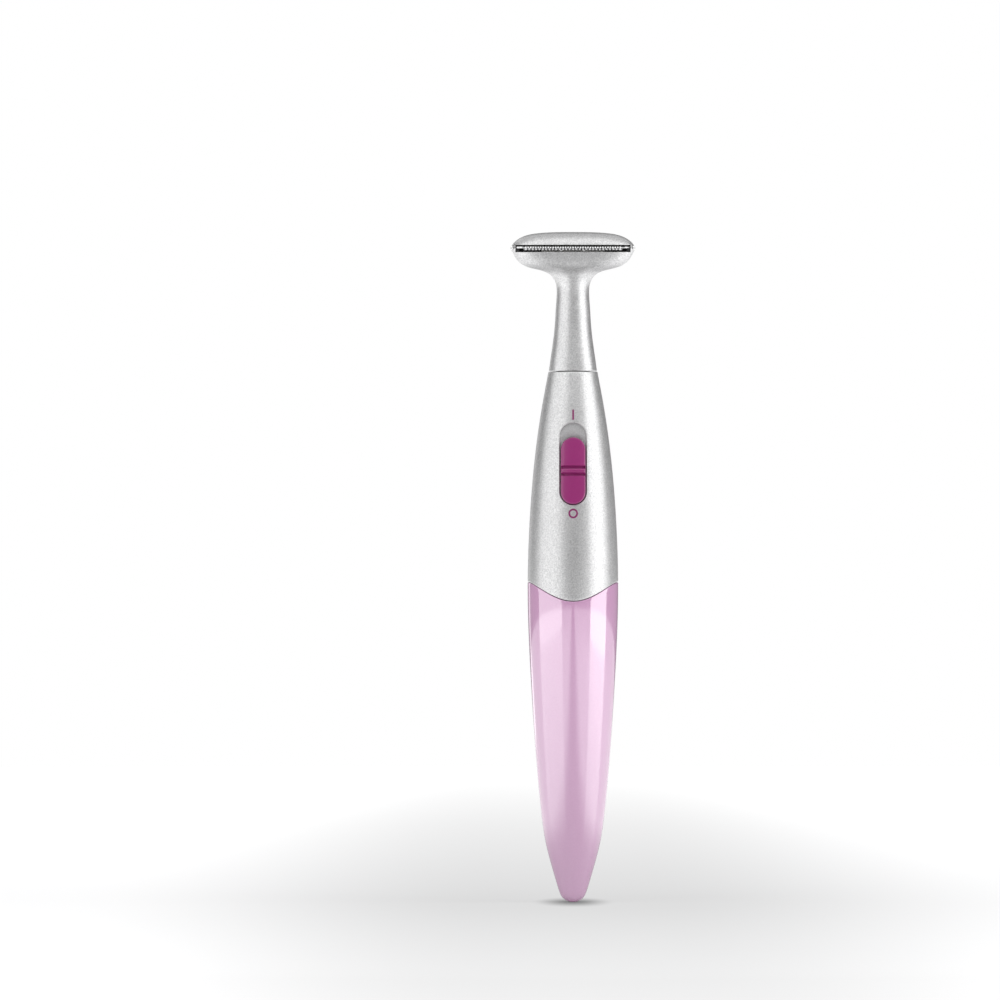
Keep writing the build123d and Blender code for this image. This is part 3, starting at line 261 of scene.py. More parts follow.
finishes = {
    "silverPaint": {"color": (0.72, 0.72, 0.72), "color2": (0.48, 0.48, 0.485), "metallic": 0.85,
                    "roughness": 0.4, "roughSpread": 0.04, "grainScale": 2900, "grainShare": 0.95,
                    "driftShare": 0.05, "bump": 0.5, "bumpDepth": 0.000012},
    "pearlPink": {"color": (0.575, 0.305, 0.505), "color2": (0.605, 0.33, 0.535), "metallic": 0.0,
                  "roughness": 0.3, "roughSpread": 0.015, "grainScale": 2600, "grainShare": 0.6,
                  "driftShare": 0.3, "bump": 0.03, "bumpDepth": 0.000005, "coat": 1.0,
                  "coatRoughness": 0.05, "coatIor": 2.6},
    "knobMagenta": {"color": (0.27, 0.018, 0.145), "color2": (0.24, 0.015, 0.125), "roughness": 0.34,
                    "bump": 0.06, "coat": 0.5, "coatRoughness": 0.08},
    "printMagenta": {"color": (0.21, 0.014, 0.11), "roughness": 0.5, "ior": 1.3, "bump": 0.05},
    "pocketFloor": {"color": (0.50, 0.50, 0.50), "color2": (0.38, 0.38, 0.385), "metallic": 0.15,
                    "roughness": 0.6, "grainScale": 2900, "grainShare": 1.0, "bump": 0.4},
    "bladeSteel": {"color": (0.95, 0.95, 0.95), "metallic": 0.15, "roughness": 0.35, "stretch": (1, 6, 6),
                   "grainScale": 3000, "bump": 0.1},
    "cutterSteel": {"color": (0.75, 0.75, 0.76), "metallic": 0.1, "roughness": 0.4, "stretch": (1, 6, 6),
                    "grainScale": 3000, "bump": 0.1},
    # black plastic; also painted shade inside the head's slot and on the dark card
    "blackPlasticAndPaintedShade": {"color": (0.012, 0.012, 0.013), "roughness": 0.45, "grainScale": 4500, "bump": 0.3},
    "innerPlastic": {"color": (0.66, 0.66, 0.63), "roughness": 0.48, "grainScale": 3000, "bump": 0.3},
    "acetal": {"color": (0.80, 0.80, 0.77), "roughness": 0.35, "grainScale": 3500, "bump": 0.15},
    "sealRubber": {"color": (0.02, 0.02, 0.022), "roughness": 0.7, "grainScale": 3800, "bump": 0.5},
    "cellSleeve": {"color": (0.035, 0.035, 0.04), "roughness": 0.28, "bump": 0.06, "coat": 0.6},
    "cellBand": {"color": (0.62, 0.36, 0.11), "color2": (0.55, 0.30, 0.09), "metallic": 0.8, "roughness": 0.3,
                 "bump": 0.06, "coat": 0.6},
    "cellSteel": {"color": (0.55, 0.55, 0.57), "metallic": 1.0, "roughness": 0.28, "bump": 0.1},
    "springSteel": {"color": (0.66, 0.66, 0.67), "metallic": 1.0, "roughness": 0.22, "bump": 0.1},
    "stripBrass": {"color": (0.68, 0.50, 0.22), "color2": (0.58, 0.40, 0.16), "metallic": 1.0,
                   "roughness": 0.32, "bump": 0.12},
    "canSteel": {"color": (0.56, 0.57, 0.60), "metallic": 1.0, "roughness": 0.34, "bump": 0.15},
    "darkMagnet": {"color": (0.03, 0.03, 0.033), "roughness": 0.6, "bump": 0.4},
    "carbon": {"color": (0.02, 0.02, 0.02), "roughness": 0.7, "bump": 0.5},
    "copper": {"color": (0.62, 0.24, 0.10), "color2": (0.50, 0.17, 0.07), "metallic": 1.0, "roughness": 0.3,
               "bump": 0.2},
    "floorSheen": {"color": (0.72, 0.72, 0.725), "color2": (0.71, 0.71, 0.715), "roughness": 0.12,
                   "ior": 1.15, "bump": 0.0},
    "floorPaper": {"color": (0.3, 0.3, 0.303), "color2": (0.29, 0.29, 0.293), "roughness": 0.12, "ior": 1.001,
                   "roughSpread": 0.01, "grainScale": 700, "driftScale": 3, "bump": 0.0},
}
mats = {name: nodeMaterial(name, s) for name, s in finishes.items()}
slotFinish = {
    "housing_paint": "silverPaint", "cover_gloss": "pearlPink", "knob_magenta": "knobMagenta",
    "inner_plastic": "innerPlastic", "dark_plastic": "blackPlasticAndPaintedShade", "seal_rubber": "sealRubber",
    "cell_steel": "cellSteel", "spring_steel": "springSteel", "blade_steel": "bladeSteel",
    "strip_brass": "stripBrass", "can_steel": "canSteel", "magnet_dark": "darkMagnet",
    "brush_carbon": "carbon", "copper_wire": "copper", "screw_steel": "cellSteel", "white_acetal": "acetal",
}
for part in frame["record"]["subparts"]:
    for holder in frame["nodes"][part["node"]].material_slots:
        holder.material = mats[slotFinish[part["material_slot"]]]
print("stage: materials", len(mats))


def seamDip(x):
    inside = max(0.0, 1 - (x / seam["half"]) ** 2)
    return seam["dip"] * inside ** 1.5


# One closed row; radius and height are functions of the angle, or numbers
def ringOf(count, radius, height):
    row = []
    for j in range(count):
        angle = 2 * math.pi * j / count
        z = height(angle) if callable(height) else height
        r = radius(z) if callable(radius) else radius
        row.append((r * math.cos(angle), r * math.sin(angle), z))
    return row


coverSettings = {"around": 192, "waveFrom": 55.0, "edge": 0.18, "wall": 1.6, "outerRows": 150,
                 "innerRows": 50, "crowd": 1.25, "reach": 0.6, "roundTip": 4, "insideLow": 4.5,
                 "insideSlack": 0.1, "insideTipR": 0.8}


# Height of a row that follows the seam fully at end and not at all at start
def waveHeight(nominal, start, end, shift):
    share = min(max((nominal - start) / (end - start), 0.0), 1.0) ** 2

    def height(angle):
        return nominal + shift - share * seamDip(handleRadius(seam["sideZ"]) * math.cos(angle))

    return height


def buildCover(s):
    n, top = s["around"], seam["sideZ"] - seam["gap"] / 2
    rows = []
    for i in range(1, s["outerRows"] + 1):
        r, z = handleCurve((i / s["outerRows"]) ** s["crowd"] * s["reach"])
        if z >= top - s["edge"] - 0.05:
            break
        radius = handleRadius if z > s["roundTip"] else float(r)
        rows.append(ringOf(n, radius, waveHeight(z, s["waveFrom"], top, 0)))
    for inset, drop in quarter(4, s["edge"]):
        rows.append(ringOf(n, lambda z, d=drop, q=inset: handleRadius(z + d) - q,
                           waveHeight(top, s["waveFrom"], top, -drop)))
    wall = s["wall"]
    rows.append(ringOf(n, lambda z: handleRadius(z) - wall, waveHeight(top, s["waveFrom"], top, 0)))
    for i in range(1, s["innerRows"]):
        z = top - (top - s["insideLow"]) * i / (s["innerRows"] - 1)
        rows.append(ringOf(n, lambda q: max(handleRadius(q) - wall - s["insideSlack"], s["insideTipR"]),
                           waveHeight(z, s["waveFrom"], top, 0)))
    return gridMesh("batteryCover", rows, poles=(True, True))


batteryCover = newObject("batteryCover", buildCover(coverSettings), "cover", mats["pearlPink"],
                         ("battery_cover",))
print("stage: battery cover", len(batteryCover.data.vertices))

switchPlane = {"lowZ": 100.8, "highZ": 121.5, "lowR": 10.66, "highR": 8.44, "width": 6.7}
tilt = math.atan2(switchPlane["lowR"] - switchPlane["highR"], switchPlane["highZ"] - switchPlane["lowZ"])
planeOrigin = Vector((0, -(switchPlane["lowR"] + switchPlane["highR"]) / 2,
                      (switchPlane["lowZ"] + switchPlane["highZ"]) / 2))
planeUp = Vector((0, math.sin(tilt), math.cos(tilt)))
planeOut = Vector((0, -math.cos(tilt), math.sin(tilt)))
pocketLength = (switchPlane["highZ"] - switchPlane["lowZ"]) / math.cos(tilt)


# Point from the switch plane's own width, length and outward height, in mm
def onPlane(u, v, w):
    p = planeOrigin + Vector((1, 0, 0)) * u + planeUp * v + planeOut * w
    return (p.x, p.y, p.z)


# Height of the handle's surface over the switch plane
def skinHeight(u, v):
    w = 0.0
    for _ in range(8):
        x, y, z = onPlane(u, v, w)
        error = math.hypot(x, y) - handleRadius(z)
        w -= error
    return w


# Round-ended outline as (point, spine point, outward normal) in the switch plane
def stadium(length, width, arcSteps, sideSteps):
    r, straight = width / 2, length - width
    out = []
    for k in range(arcSteps + 1):
        a = math.pi * k / arcSteps
        c, s = math.cos(a), math.sin(a)
        out.append(((r * c, straight / 2 + r * s), (0, straight / 2), (c, s)))
    for k in range(1, sideSteps):
        v = straight * (0.5 - k / sideSteps)
        out.append(((-r, v), (0, v), (-1, 0)))
    for k in range(arcSteps + 1):
        a = math.pi + math.pi * k / arcSteps
        c, s = math.cos(a), math.sin(a)
        out.append(((r * c, -straight / 2 + r * s), (0, -straight / 2), (c, s)))
    for k in range(1, sideSteps):
        v = straight * (k / sideSteps - 0.5)
        out.append(((r, v), (0, v), (1, 0)))
    return out


housingSettings = {"around": 224, "edge": 0.18, "wall": 1.4, "waveOver": 22.0, "rows": 150, "innerRows": 60,
                   "top": 134.52, "boreR": 4.35, "boreEdge": 0.05, "roofZ": 133.2}
pocketSettings = {"rim": 0.3, "floor": -1.0, "back": -1.9, "outset": 0.65, "window": (8.8, 3.2),
                  "windowMid": -0.11, "fillet": 0.25, "tuck": 0.28, "tuckDepth": 1.2, "arcSteps": 40,
                  "sideSteps": 60, "cutLow": -4, "cutHigh": 4, "cutArcSteps": 32, "cutSideSteps": 24,
                  "floorReach": 0.3}


def buildHousing(s):
    n, low = s["around"], seam["sideZ"] + seam["gap"] / 2
    span = s["top"] - low
    rows = []

    def fade(nominal, shift):
        share = max(0.0, 1 - (nominal - low) / s["waveOver"]) ** 2
        return lambda angle: nominal + shift - share * seamDip(handleRadius(low) * math.cos(angle))

    for rise, inset in quarter(4, s["edge"]):
        rows.append(ringOf(n, lambda z, q=inset: handleRadius(z) - q, fade(low, rise)))
    for i in range(1, s["rows"]):
        nominal = low + s["edge"] + (span - 2 * s["edge"]) * i / s["rows"]
        rows.append(ringOf(n, handleRadius, fade(nominal, 0)))
    for inset, drop in quarter(4, s["edge"]):
        rows.append(ringOf(n, handleRadius(s["top"] - drop) - inset, s["top"] - drop))
    rows.append(ringOf(n, s["boreR"] + s["boreEdge"], s["top"]))
    rows.append(ringOf(n, s["boreR"], s["top"] - s["boreEdge"]))
    rows.append(ringOf(n, s["boreR"], s["roofZ"]))
    for i in range(s["innerRows"]):
        nominal = s["roofZ"] - (s["roofZ"] - low) * i / (s["innerRows"] - 1)
        rows.append(ringOf(n, lambda z: handleRadius(z) - s["wall"], fade(nominal, 0)))
    return gridMesh("upperHousing", rows, loop=True)


# Lining of the switch pocket: a rounded rim that follows the handle, walls and a floor
def buildPocket(s):
    ring = stadium(pocketLength, switchPlane["width"], s["arcSteps"], s["sideSteps"])
    rows = []

    def row(offset, height):
        out = []
        for p, spine, normal in ring:
            u, v = p[0] + normal[0] * offset, p[1] + normal[1] * offset
            out.append(onPlane(u, v, height(u, v)))
        return out

    for depth, offset in quarter(6, s["rim"]):
        rows.append(row(offset, lambda u, v, d=depth: skinHeight(u, v) - d))
    for inset, lift in quarter(5, s["fillet"]):
        rows.append(row(-inset, lambda u, v, w=s["floor"] + lift: w))
    window = stadium(*s["window"], s["arcSteps"], s["sideSteps"])
    for depth in (s["floor"], s["back"]):
        rows.append([onPlane(p[0], p[1] + s["windowMid"], depth) for p, spine, normal in window])
    rows.append(row(s["outset"], lambda u, v: s["back"]))
    rows.append(row(s["tuck"], lambda u, v: skinHeight(u, v) - s["tuckDepth"]))
    return gridMesh("switchPocket", rows, loop=True)


# What the pocket and its rim take out of the housing
def pocketHole(s):
    ring = stadium(pocketLength + 2 * s["rim"], switchPlane["width"] + 2 * s["rim"], s["cutArcSteps"],
                   s["cutSideSteps"])
    rows = [[onPlane(p[0], p[1], w) for p, spine, normal in ring] for w in (s["cutLow"], s["cutHigh"])]
    return gridMesh("hole", rows, poles=(True, True))


housingMesh = cutOut(buildHousing(housingSettings), pocketHole(pocketSettings))
upperHousing = newObject("upperHousing", housingMesh, "handle", mats["silverPaint"], ("upper_housing",))
switchPocket = newObject("switchPocket", buildPocket(pocketSettings), "handle", mats["silverPaint"],
                         ("upper_housing",))
switchPocket.data.materials.append(mats["pocketFloor"])
for poly in switchPocket.data.polygons:
    height = (poly.center / mm - planeOrigin).dot(planeOut)
    poly.material_index = 1 if height < pocketSettings["floor"] + pocketSettings["floorReach"] else 0
print("stage: housing", len(upperHousing.data.vertices))

knobSettings = {"length": 17.0, "width": 6.25, "proud": 0.72, "edge": 0.3, "base": -0.9, "ridgeHalf": 0.5,
                "grooveEnd": 1.35, "grooveDepth": 0.8, "ridgeRise": 0.18, "play": 0.1, "flatRows": 17,
                "fadeFrom": 0.02, "fadeOver": 0.25, "arcSteps": 32, "sideSteps": 150}
knobMid = -(pocketLength - knobSettings["length"]) / 2 + knobSettings["play"]


# Height change along the knob: a raised cross ridge between two scooped flanks
def knobRelief(v, s):
    d = abs(v)
    if d < s["ridgeHalf"]:
        return s["ridgeRise"] * (1 - (d / s["ridgeHalf"]) ** 4)
    if d < s["grooveEnd"]:
        share = (d - s["ridgeHalf"]) / (s["grooveEnd"] - s["ridgeHalf"])
        return -s["grooveDepth"] * math.sin(math.pi * share) ** 0.8
    return 0.0


def buildKnob(s):
    ring = stadium(s["length"], s["width"], s["arcSteps"], s["sideSteps"])
    rows = [[onPlane((spine[0] + p[0]) / 2, knobMid + p[1], s["base"]) for p, spine, normal in ring],
            [onPlane(p[0], knobMid + p[1], s["base"]) for p, spine, normal in ring]]
    flat = s["width"] / 2 - s["edge"]
    steps = [(s["edge"] + flat * k / s["flatRows"], 0.0) for k in range(1, s["flatRows"] + 1)]
    for inset, sink in quarter(8, s["edge"]) + steps:
        row = []
        for p, spine, normal in ring:
            u, v = p[0] - normal[0] * inset, p[1] - normal[1] * inset
            fadeEdge = min(1.0, max(0.0, (inset - s["fadeFrom"]) / s["fadeOver"]))
            w = skinHeight(u, knobMid + v) + s["proud"] - sink + knobRelief(v, s) * fadeEdge
            row.append(onPlane(u, knobMid + v, w))
        rows.append(row)
    mesh = gridMesh("switchKnob", rows, poles=(True, False))
    bm = bmesh.new()
    bm.from_mesh(mesh)
    bmesh.ops.remove_doubles(bm, verts=bm.verts, dist=1e-7)
    bmesh.ops.recalc_face_normals(bm, faces=bm.faces)
    bm.to_mesh(mesh)
    bm.free()
    return mesh


switchKnob = newObject("switchKnob", buildKnob(knobSettings), "switch", mats["knobMagenta"],
                       ("switch_knob",))

markSettings = {"proud": 0.03, "onLow": 122.3, "onHigh": 124.9, "onWidth": 0.42, "offZ": 98.6, "offR": 1.22,
                "stroke": 0.44, "sunk": -0.05, "barSteps": 12, "around": 72}


def frontSkin(x, z, proud):
    r = handleRadius(z) + proud
    return (x, -math.sqrt(max(r * r - x * x, 0)), z)


def buildMarks(s):
    half, steps = s["onWidth"] / 2, s["barSteps"]
    bar = [(-half, s["onLow"] + (s["onHigh"] - s["onLow"]) * k / steps) for k in range(steps + 1)]
    bar += [(half, z) for x, z in reversed(bar)]
    n = len(bar)
    verts = [frontSkin(x, z, proud) for proud in (s["sunk"], s["proud"]) for x, z in bar]
    faces = []
    for j in range(n):
        k = (j + 1) % n
        faces.append((j, k, n + k, n + j))
    for k in range(steps):
        a, b = k, 2 * steps + 1 - k
        faces.append((a, a + 1, b - 1, b))
        faces.append((n + a, n + a + 1, n + b - 1, n + b))
    base, around = len(verts), s["around"]
    inner = s["offR"] - s["stroke"]
    angles = [2 * math.pi * k / around for k in range(around)]
    for r, proud in ((s["offR"], s["sunk"]), (s["offR"], s["proud"]), (inner, s["proud"]),
                     (inner, s["sunk"])):
        verts += [frontSkin(r * math.cos(a), s["offZ"] + r * math.sin(a), proud) for a in angles]
    for i in range(4):
        a, b = base + i * around, base + ((i + 1) % 4) * around
        for j in range(around):
            k = (j + 1) % around
            faces.append((a + j, a + k, b + k, b + j))
    return meshFrom("switchMarks", verts, faces, smooth=False)


switchMarks = newObject("switchMarks", buildMarks(markSettings), "handle", mats["printMagenta"], ())
print("stage: switch")

headSettings = {
    "around": 240, "edge": 0.18, "frontShare": 0.9, "bottom": 134.68, "wall": 0.95, "rim": 165.9,
    "seam": 0.05, "squareFrom": 4.08, "squareTo": 15.9, "lip": 0.03, "shellRows": 150, "insideRows": 60,
    "insideR": 3.1, "neckR": 4.6, "floorShare": 1.1, "mouthR": 4.9, "capRows": 90, "capInsideRows": 30,
    "capWall": 1.2, "capRoof": 1.1,
    "neck": [(6.12, 6.12, 134.6), (5.58, 5.58, 138.5), (5.0, 5.0, 142.6), (4.59, 4.59, 146.6),
             (4.34, 4.34, 150.7), (4.1, 4.1, 154.8), (4.2, 4.18, 156.3)],
    "bowl": [(4.75, 4.3, 157.9), (5.75, 4.5, 159.1), (8.2, 5.0, 160.27), (12.2, 5.66, 161.4),
             (14.0, 5.96, 162.7), (15.15, 6.08, 164.5), (15.82, 6.14, 165.75)],
    "dome": [(15.82, 6.14, 165.95), (15.3, 5.93, 166.85), (14.3, 5.4, 167.85), (12.3, 4.3, 168.95),
             (9.0, 2.7, 169.65), (4.5, 1.0, 169.93), (1.0, 0.2, 169.97)],
}


# Level outline: a circle at the neck, a long box with a flatter front at the rim
def headRing(halfWidth, halfDepth, z, s):
    square = min(max((halfWidth - s["squareFrom"]) / (s["squareTo"] - s["squareFrom"]), 0.0), 1.0)
    power = 2 + 2 * square
    front = 1 - (1 - s["frontShare"]) * square
    row = []
    for j in range(s["around"]):
        t = 2 * math.pi * j / s["around"]
        depth = halfDepth * (front if math.sin(t) < 0 else 1)
        c, q = halfWidth * math.cos(t), depth * math.sin(t)
        size = (abs(c / halfWidth) ** power + abs(q / depth) ** power) ** (-1 / power)
        row.append((c * size, q * size, z))
    return row


def buildHeadShell(s):
    curve = splineThrough(s["neck"] + s["bowl"])
    wall, lip, mouth = s["wall"], s["lip"], s["rim"] - s["seam"]
    rows = []
    for rise, inset in quarter(3, s["edge"]):
        r = s["neck"][0][0] - inset
        rows.append(headRing(r, r, s["bottom"] + rise, s))
    for i in range(1, s["shellRows"]):
        hw, hd, z = curve(i / (s["shellRows"] - 1))
        if z > s["bottom"] + s["edge"] + 0.1:
            rows.append(headRing(hw, hd, z, s))
    hw, hd, z = curve(1.0)
    rows.append(headRing(hw - lip, hd - lip, mouth, s))
    rows.append(headRing(hw - wall, hd - wall, mouth, s))
    for i in range(s["insideRows"]):
        hw, hd, z = curve(1 - i / (s["insideRows"] - 1))
        z = min(z, mouth - 0.1) + (wall * s["floorShare"] if hw > s["neckR"] else 0.0)
        if z < mouth - 0.15:
            rows.append(headRing(max(hw - wall, s["insideR"]), hd - wall, z, s))
    rows.append(headRing(s["mouthR"], s["mouthR"], s["bottom"], s))
    return gridMesh("headShell", rows, loop=True)


def buildHeadCap(s):
    curve = splineThrough(s["dome"])
    wall, lip, low = s["capWall"], s["lip"], s["rim"] + s["seam"]
    rows = []
    for i in range(s["capInsideRows"]):
        hw, hd, z = curve(i / (s["capInsideRows"] - 1))
        z = max(z - s["capRoof"], low + 0.02 + i * 0.001)
        rows.append(headRing(max(hw - wall, 0.3), max(hd - wall, 0.1), z, s))
    rows.reverse()
    hw, hd, z = s["dome"][0]
    rows += [headRing(hw - wall, hd - wall, low, s), headRing(hw - lip, hd - lip, low, s)]
    for i in range(s["capRows"]):
        hw, hd, z = curve(i / (s["capRows"] - 1))
        rows.append(headRing(hw, hd, max(z, low + 0.01), s))
    return gridMesh("headCap", rows, poles=(True, True))


slotSettings = {"half": 14.6, "low": 164.8, "high": 166.62, "back": -0.6, "front": -9.0, "mouth": -5.2,
                "round": 0.05, "slack": 0.01}


def slotCutter(s):
    return boxMesh("slotCutter", [((-s["half"], s["front"], s["low"]), (s["half"], s["back"], s["high"]))],
                   s["round"], 3)


def inSlot(place, s):
    x, y, z = place
    within = abs(x) < s["half"] + s["slack"] and s["low"] - s["slack"] < z < s["high"] + s["slack"]
    return 1 if within and s["mouth"] < y < s["back"] + s["slack"] else 0


headShell = newObject("headShell", cutOut(buildHeadShell(headSettings), slotCutter(slotSettings)), "head",
                      mats["silverPaint"], ("head_shell",))
headCap = newObject("headCap", cutOut(buildHeadCap(headSettings), slotCutter(slotSettings)), "head",
                    mats["silverPaint"], ("head_cap",))
for shell in (headShell, headCap):    # the slot's inside faces are painted black, a painted shade in the slot
    shell.data.materials.append(mats["blackPlasticAndPaintedShade"])
    for poly in shell.data.polygons:
        poly.material_index = inSlot(poly.center / mm, slotSettings)

ribSettings = {"x": (-3.05, 2.75), "half": 0.22, "front": -5.4, "back": -4.6, "low": 164.97, "high": 165.3,
               "edge": 0.06}
catchSettings = {"x": 15.42, "y": -3.6, "z": 165.9, "apart": 0.27, "r": 0.25}


def buildRibs(s):
    boxes = [((x - s["half"], s["front"], s["low"]), (x + s["half"], s["back"], s["high"])) for x in s["x"]]
    return boxMesh("slotRibs", boxes, s["edge"], 2)


def buildCatches(s):    # two beads at each end of the rim
    bm = bmesh.new()
    for x in (-s["x"], s["x"]):
        for rise in (-s["apart"], s["apart"]):
            bead = bmesh.ops.create_uvsphere(bm, u_segments=20, v_segments=12, radius=s["r"] * mm)
            for v in bead["verts"]:
                v.co += Vector((x, s["y"], s["z"] + rise)) * mm
    mesh = bpy.data.meshes.new("combCatches")
    bm.to_mesh(mesh)
    bm.free()
    mesh.polygons.foreach_set("use_smooth", [True] * len(mesh.polygons))
    return mesh


slotRibs = newObject("slotRibs", buildRibs(ribSettings), "head", mats["silverPaint"], ())
combCatches = newObject("combCatches", buildCatches(catchSettings), "head", mats["bladeSteel"],
                        ("comb_catches",))
print("stage: head", len(headShell.data.vertices), len(headCap.data.vertices))

toothShape = {"tipSteps": 8, "tipShare": 0.85, "edgeIn": 0.03, "edgeUp": 0.04, "plateEdge": 0.05}


# One tooth, its tip at the front: rounded outline, thinned at its edges
def toothMesh(name, s):
    w, length, thick = s["toothWidth"] / 2, s["toothLength"], s["thick"]
    edgeIn, edgeUp, steps = toothShape["edgeIn"], toothShape["edgeUp"], toothShape["tipSteps"]
    outline = [(-w, length)]
    for k in range(steps + 1):
        a = math.pi + math.pi * k / steps
        outline.append((w * toothShape["tipShare"] * math.cos(a), w * (1 + math.sin(a))))
    outline.append((w, length))
    rows = []
    for z, spread in ((0.0, -edgeIn), (edgeUp, 0.0), (thick - edgeUp, 0.0), (thick, -edgeIn)):
        rows.append([(x * (1 + spread / w), y - spread * (1 if y < length else 0), z) for x, y in outline])
    mesh = gridMesh(name, rows, poles=(True, True))
    mesh.polygons.foreach_set("use_smooth", [False] * len(mesh.polygons))
    return mesh


# Node tree that sets one tooth at each point of a row and joins them to the plate
def rowTree(name):
    tree = bpy.data.node_groups.new(name, "GeometryNodeTree")
    face = tree.interface
    face.new_socket("Geometry", in_out="INPUT", socket_type="NodeSocketGeometry")
    sockets = {
        "Count": "NodeSocketInt", "Start": "NodeSocketVector", "Step": "NodeSocketVector",
        "Tooth": "NodeSocketObject", "Finish": "NodeSocketMaterial",
    }
    ids = {label: face.new_socket(label, in_out="INPUT", socket_type=kind).identifier
           for label, kind in sockets.items()}
    face.new_socket("Geometry", in_out="OUTPUT", socket_type="NodeSocketGeometry")
    add, link = tree.nodes.new, tree.links.new
    given, out = add("NodeGroupInput"), add("NodeGroupOutput")
    line, info = add("GeometryNodeMeshLine"), add("GeometryNodeObjectInfo")
    place, join = add("GeometryNodeInstanceOnPoints"), add("GeometryNodeJoinGeometry")
    real, paint = add("GeometryNodeRealizeInstances"), add("GeometryNodeSetMaterial")
    link(given.outputs["Count"], line.inputs["Count"])
    link(given.outputs["Start"], line.inputs["Start Location"])
    link(given.outputs["Step"], line.inputs["Offset"])
    link(given.outputs["Tooth"], info.inputs["Object"])
    link(line.outputs["Mesh"], place.inputs["Points"])
    link(info.outputs["Geometry"], place.inputs["Instance"])
    link(place.outputs["Instances"], real.inputs["Geometry"])
    link(real.outputs["Geometry"], paint.inputs["Geometry"])
    link(given.outputs["Finish"], paint.inputs["Material"])
    link(paint.outputs["Geometry"], join.inputs["Geometry"])
    link(given.outputs["Geometry"], join.inputs["Geometry"])
    link(join.outputs["Geometry"], out.inputs["Geometry"])
    return tree, ids


# Runs a node tree on a mesh and returns the result as a plain mesh
def grow(mesh, tree, values):
    host = bpy.data.objects.new("growHost", mesh)
    bpy.context.scene.collection.objects.link(host)
    mod = host.modifiers.new("grow", "NODES")
    mod.node_group = tree
    for key, value in values.items():
        mod[key] = value
    done = bpy.data.meshes.new_from_object(host.evaluated_get(bpy.context.evaluated_depsgraph_get()))
    host.modifiers.remove(mod)
    bpy.data.objects.remove(host)
    return done


toothTree, toothIds = rowTree("toothRow")


def bladeMesh(name, s, plates, finish):
    tooth = bpy.data.objects.new(name + "Tooth", toothMesh(name + "Tooth", s))
    bpy.context.scene.collection.objects.link(tooth)
    first = -(s["teeth"] - 1) / 2 * s["pitch"]
    values = {
        toothIds["Count"]: s["teeth"],
        toothIds["Start"]: (first * mm, s["tipY"] * mm, s["lowZ"] * mm),
        toothIds["Step"]: (s["pitch"] * mm, 0.0, 0.0),
        toothIds["Tooth"]: tooth,
        toothIds["Finish"]: finish,
    }
    plate = boxMesh(name, plates, toothShape["plateEdge"], 1)
    plate.materials.append(finish)
    mesh = grow(plate, toothTree, values)
    mesh.name = name
    bpy.data.objects.remove(tooth)
    return mesh


combSettings = {"pitch": 0.63, "teeth": 39, "lowZ": 165.77, "thick": 0.40, "toothWidth": 0.42,
                "toothLength": 1.55, "tipY": -5.28}
cutterSettings = {"pitch": 0.85, "teeth": 29, "lowZ": 165.31, "thick": 0.42, "toothWidth": 0.46,
                  "toothLength": 1.5, "tipY": -5.05}
combPlates = [((-14.3, -3.8, 165.77), (14.3, -0.78, 166.17)),
              ((-14.25, -4.95, 165.77), (-12.9, -3.7, 166.17)),
              ((13.2, -4.95, 165.77), (13.75, -3.7, 166.17))]
cutterPlates = [((-12.5, -3.6, 165.31), (12.5, -1.65, 165.73))]
combMesh = bladeMesh("combBlade", combSettings, combPlates, mats["bladeSteel"])
combBlade = newObject("combBlade", combMesh, "head", None, ("comb_blade",))
cutterMesh = bladeMesh("cutterBlade", cutterSettings, cutterPlates, mats["cutterSteel"])
cutterBlade = newObject("cutterBlade", cutterMesh, "cutter", None, ("cutter_blade",))
print("stage: blades")

cellSettings = {"low": 31.0, "top": 74.7, "r": 5.25, "edge": 0.4, "nubR": 1.9, "nub": 0.8, "sleeveTop": 62.0,
                "crimp": (4.4, 4.3, 3.2, 3.1), "step": 0.15, "footIn": (1.4, 0.9), "footUp": 0.12,
                "inset": 0.2, "sideRows": 24, "footBare": 0.5, "topBare": 0.25, "around": 96, "edgeRows": 7}


def buildCell(s):
    low, top, r, e, step, nubR = s["low"], s["top"], s["r"], s["edge"], s["step"], s["nubR"]
    turn = np.linspace(0, math.pi / 2, s["edgeRows"])
    profile = [(r - s["footIn"][0], low + s["footUp"]), (r - s["footIn"][1], low)]
    profile += [(r - e + e * math.sin(a), low + e - e * math.cos(a)) for a in turn]
    profile += [(r, z) for z in np.linspace(low + e + s["inset"], top - e - s["inset"], s["sideRows"])]
    profile += [(r - e + e * math.cos(a), top - e + e * math.sin(a)) for a in turn]
    profile += [(cr, top - drop) for cr, drop in zip(s["crimp"], (0, step, step, 0))]
    profile += [(nubR + step, top + 0.02), (nubR, top + step), (nubR, top + s["nub"] - step),
                (nubR - step, top + s["nub"])]
    mesh = gridMesh("batteryCell", [ringOf(s["around"], pr, pz) for pr, pz in profile], poles=(True, True))
    for finish in ("cellSleeve", "cellBand", "cellSteel"):
        mesh.materials.append(mats[finish])
    for poly in mesh.polygons:
        z = poly.center.z / mm
        steel = z < low + s["footBare"] or z > top - s["topBare"]
        poly.material_index = 2 if steel else (1 if z > s["sleeveTop"] else 0)
    return mesh


batteryCell = newObject("batteryCell", buildCell(cellSettings), "handle", None, ("battery_cell",))

springSettings = {"low": 27.92, "high": 30.68, "r": 3.6, "spread": 0.59, "wire": 0.3, "pitch": 0.9,
                  "sides": 16, "perTurn": 48}


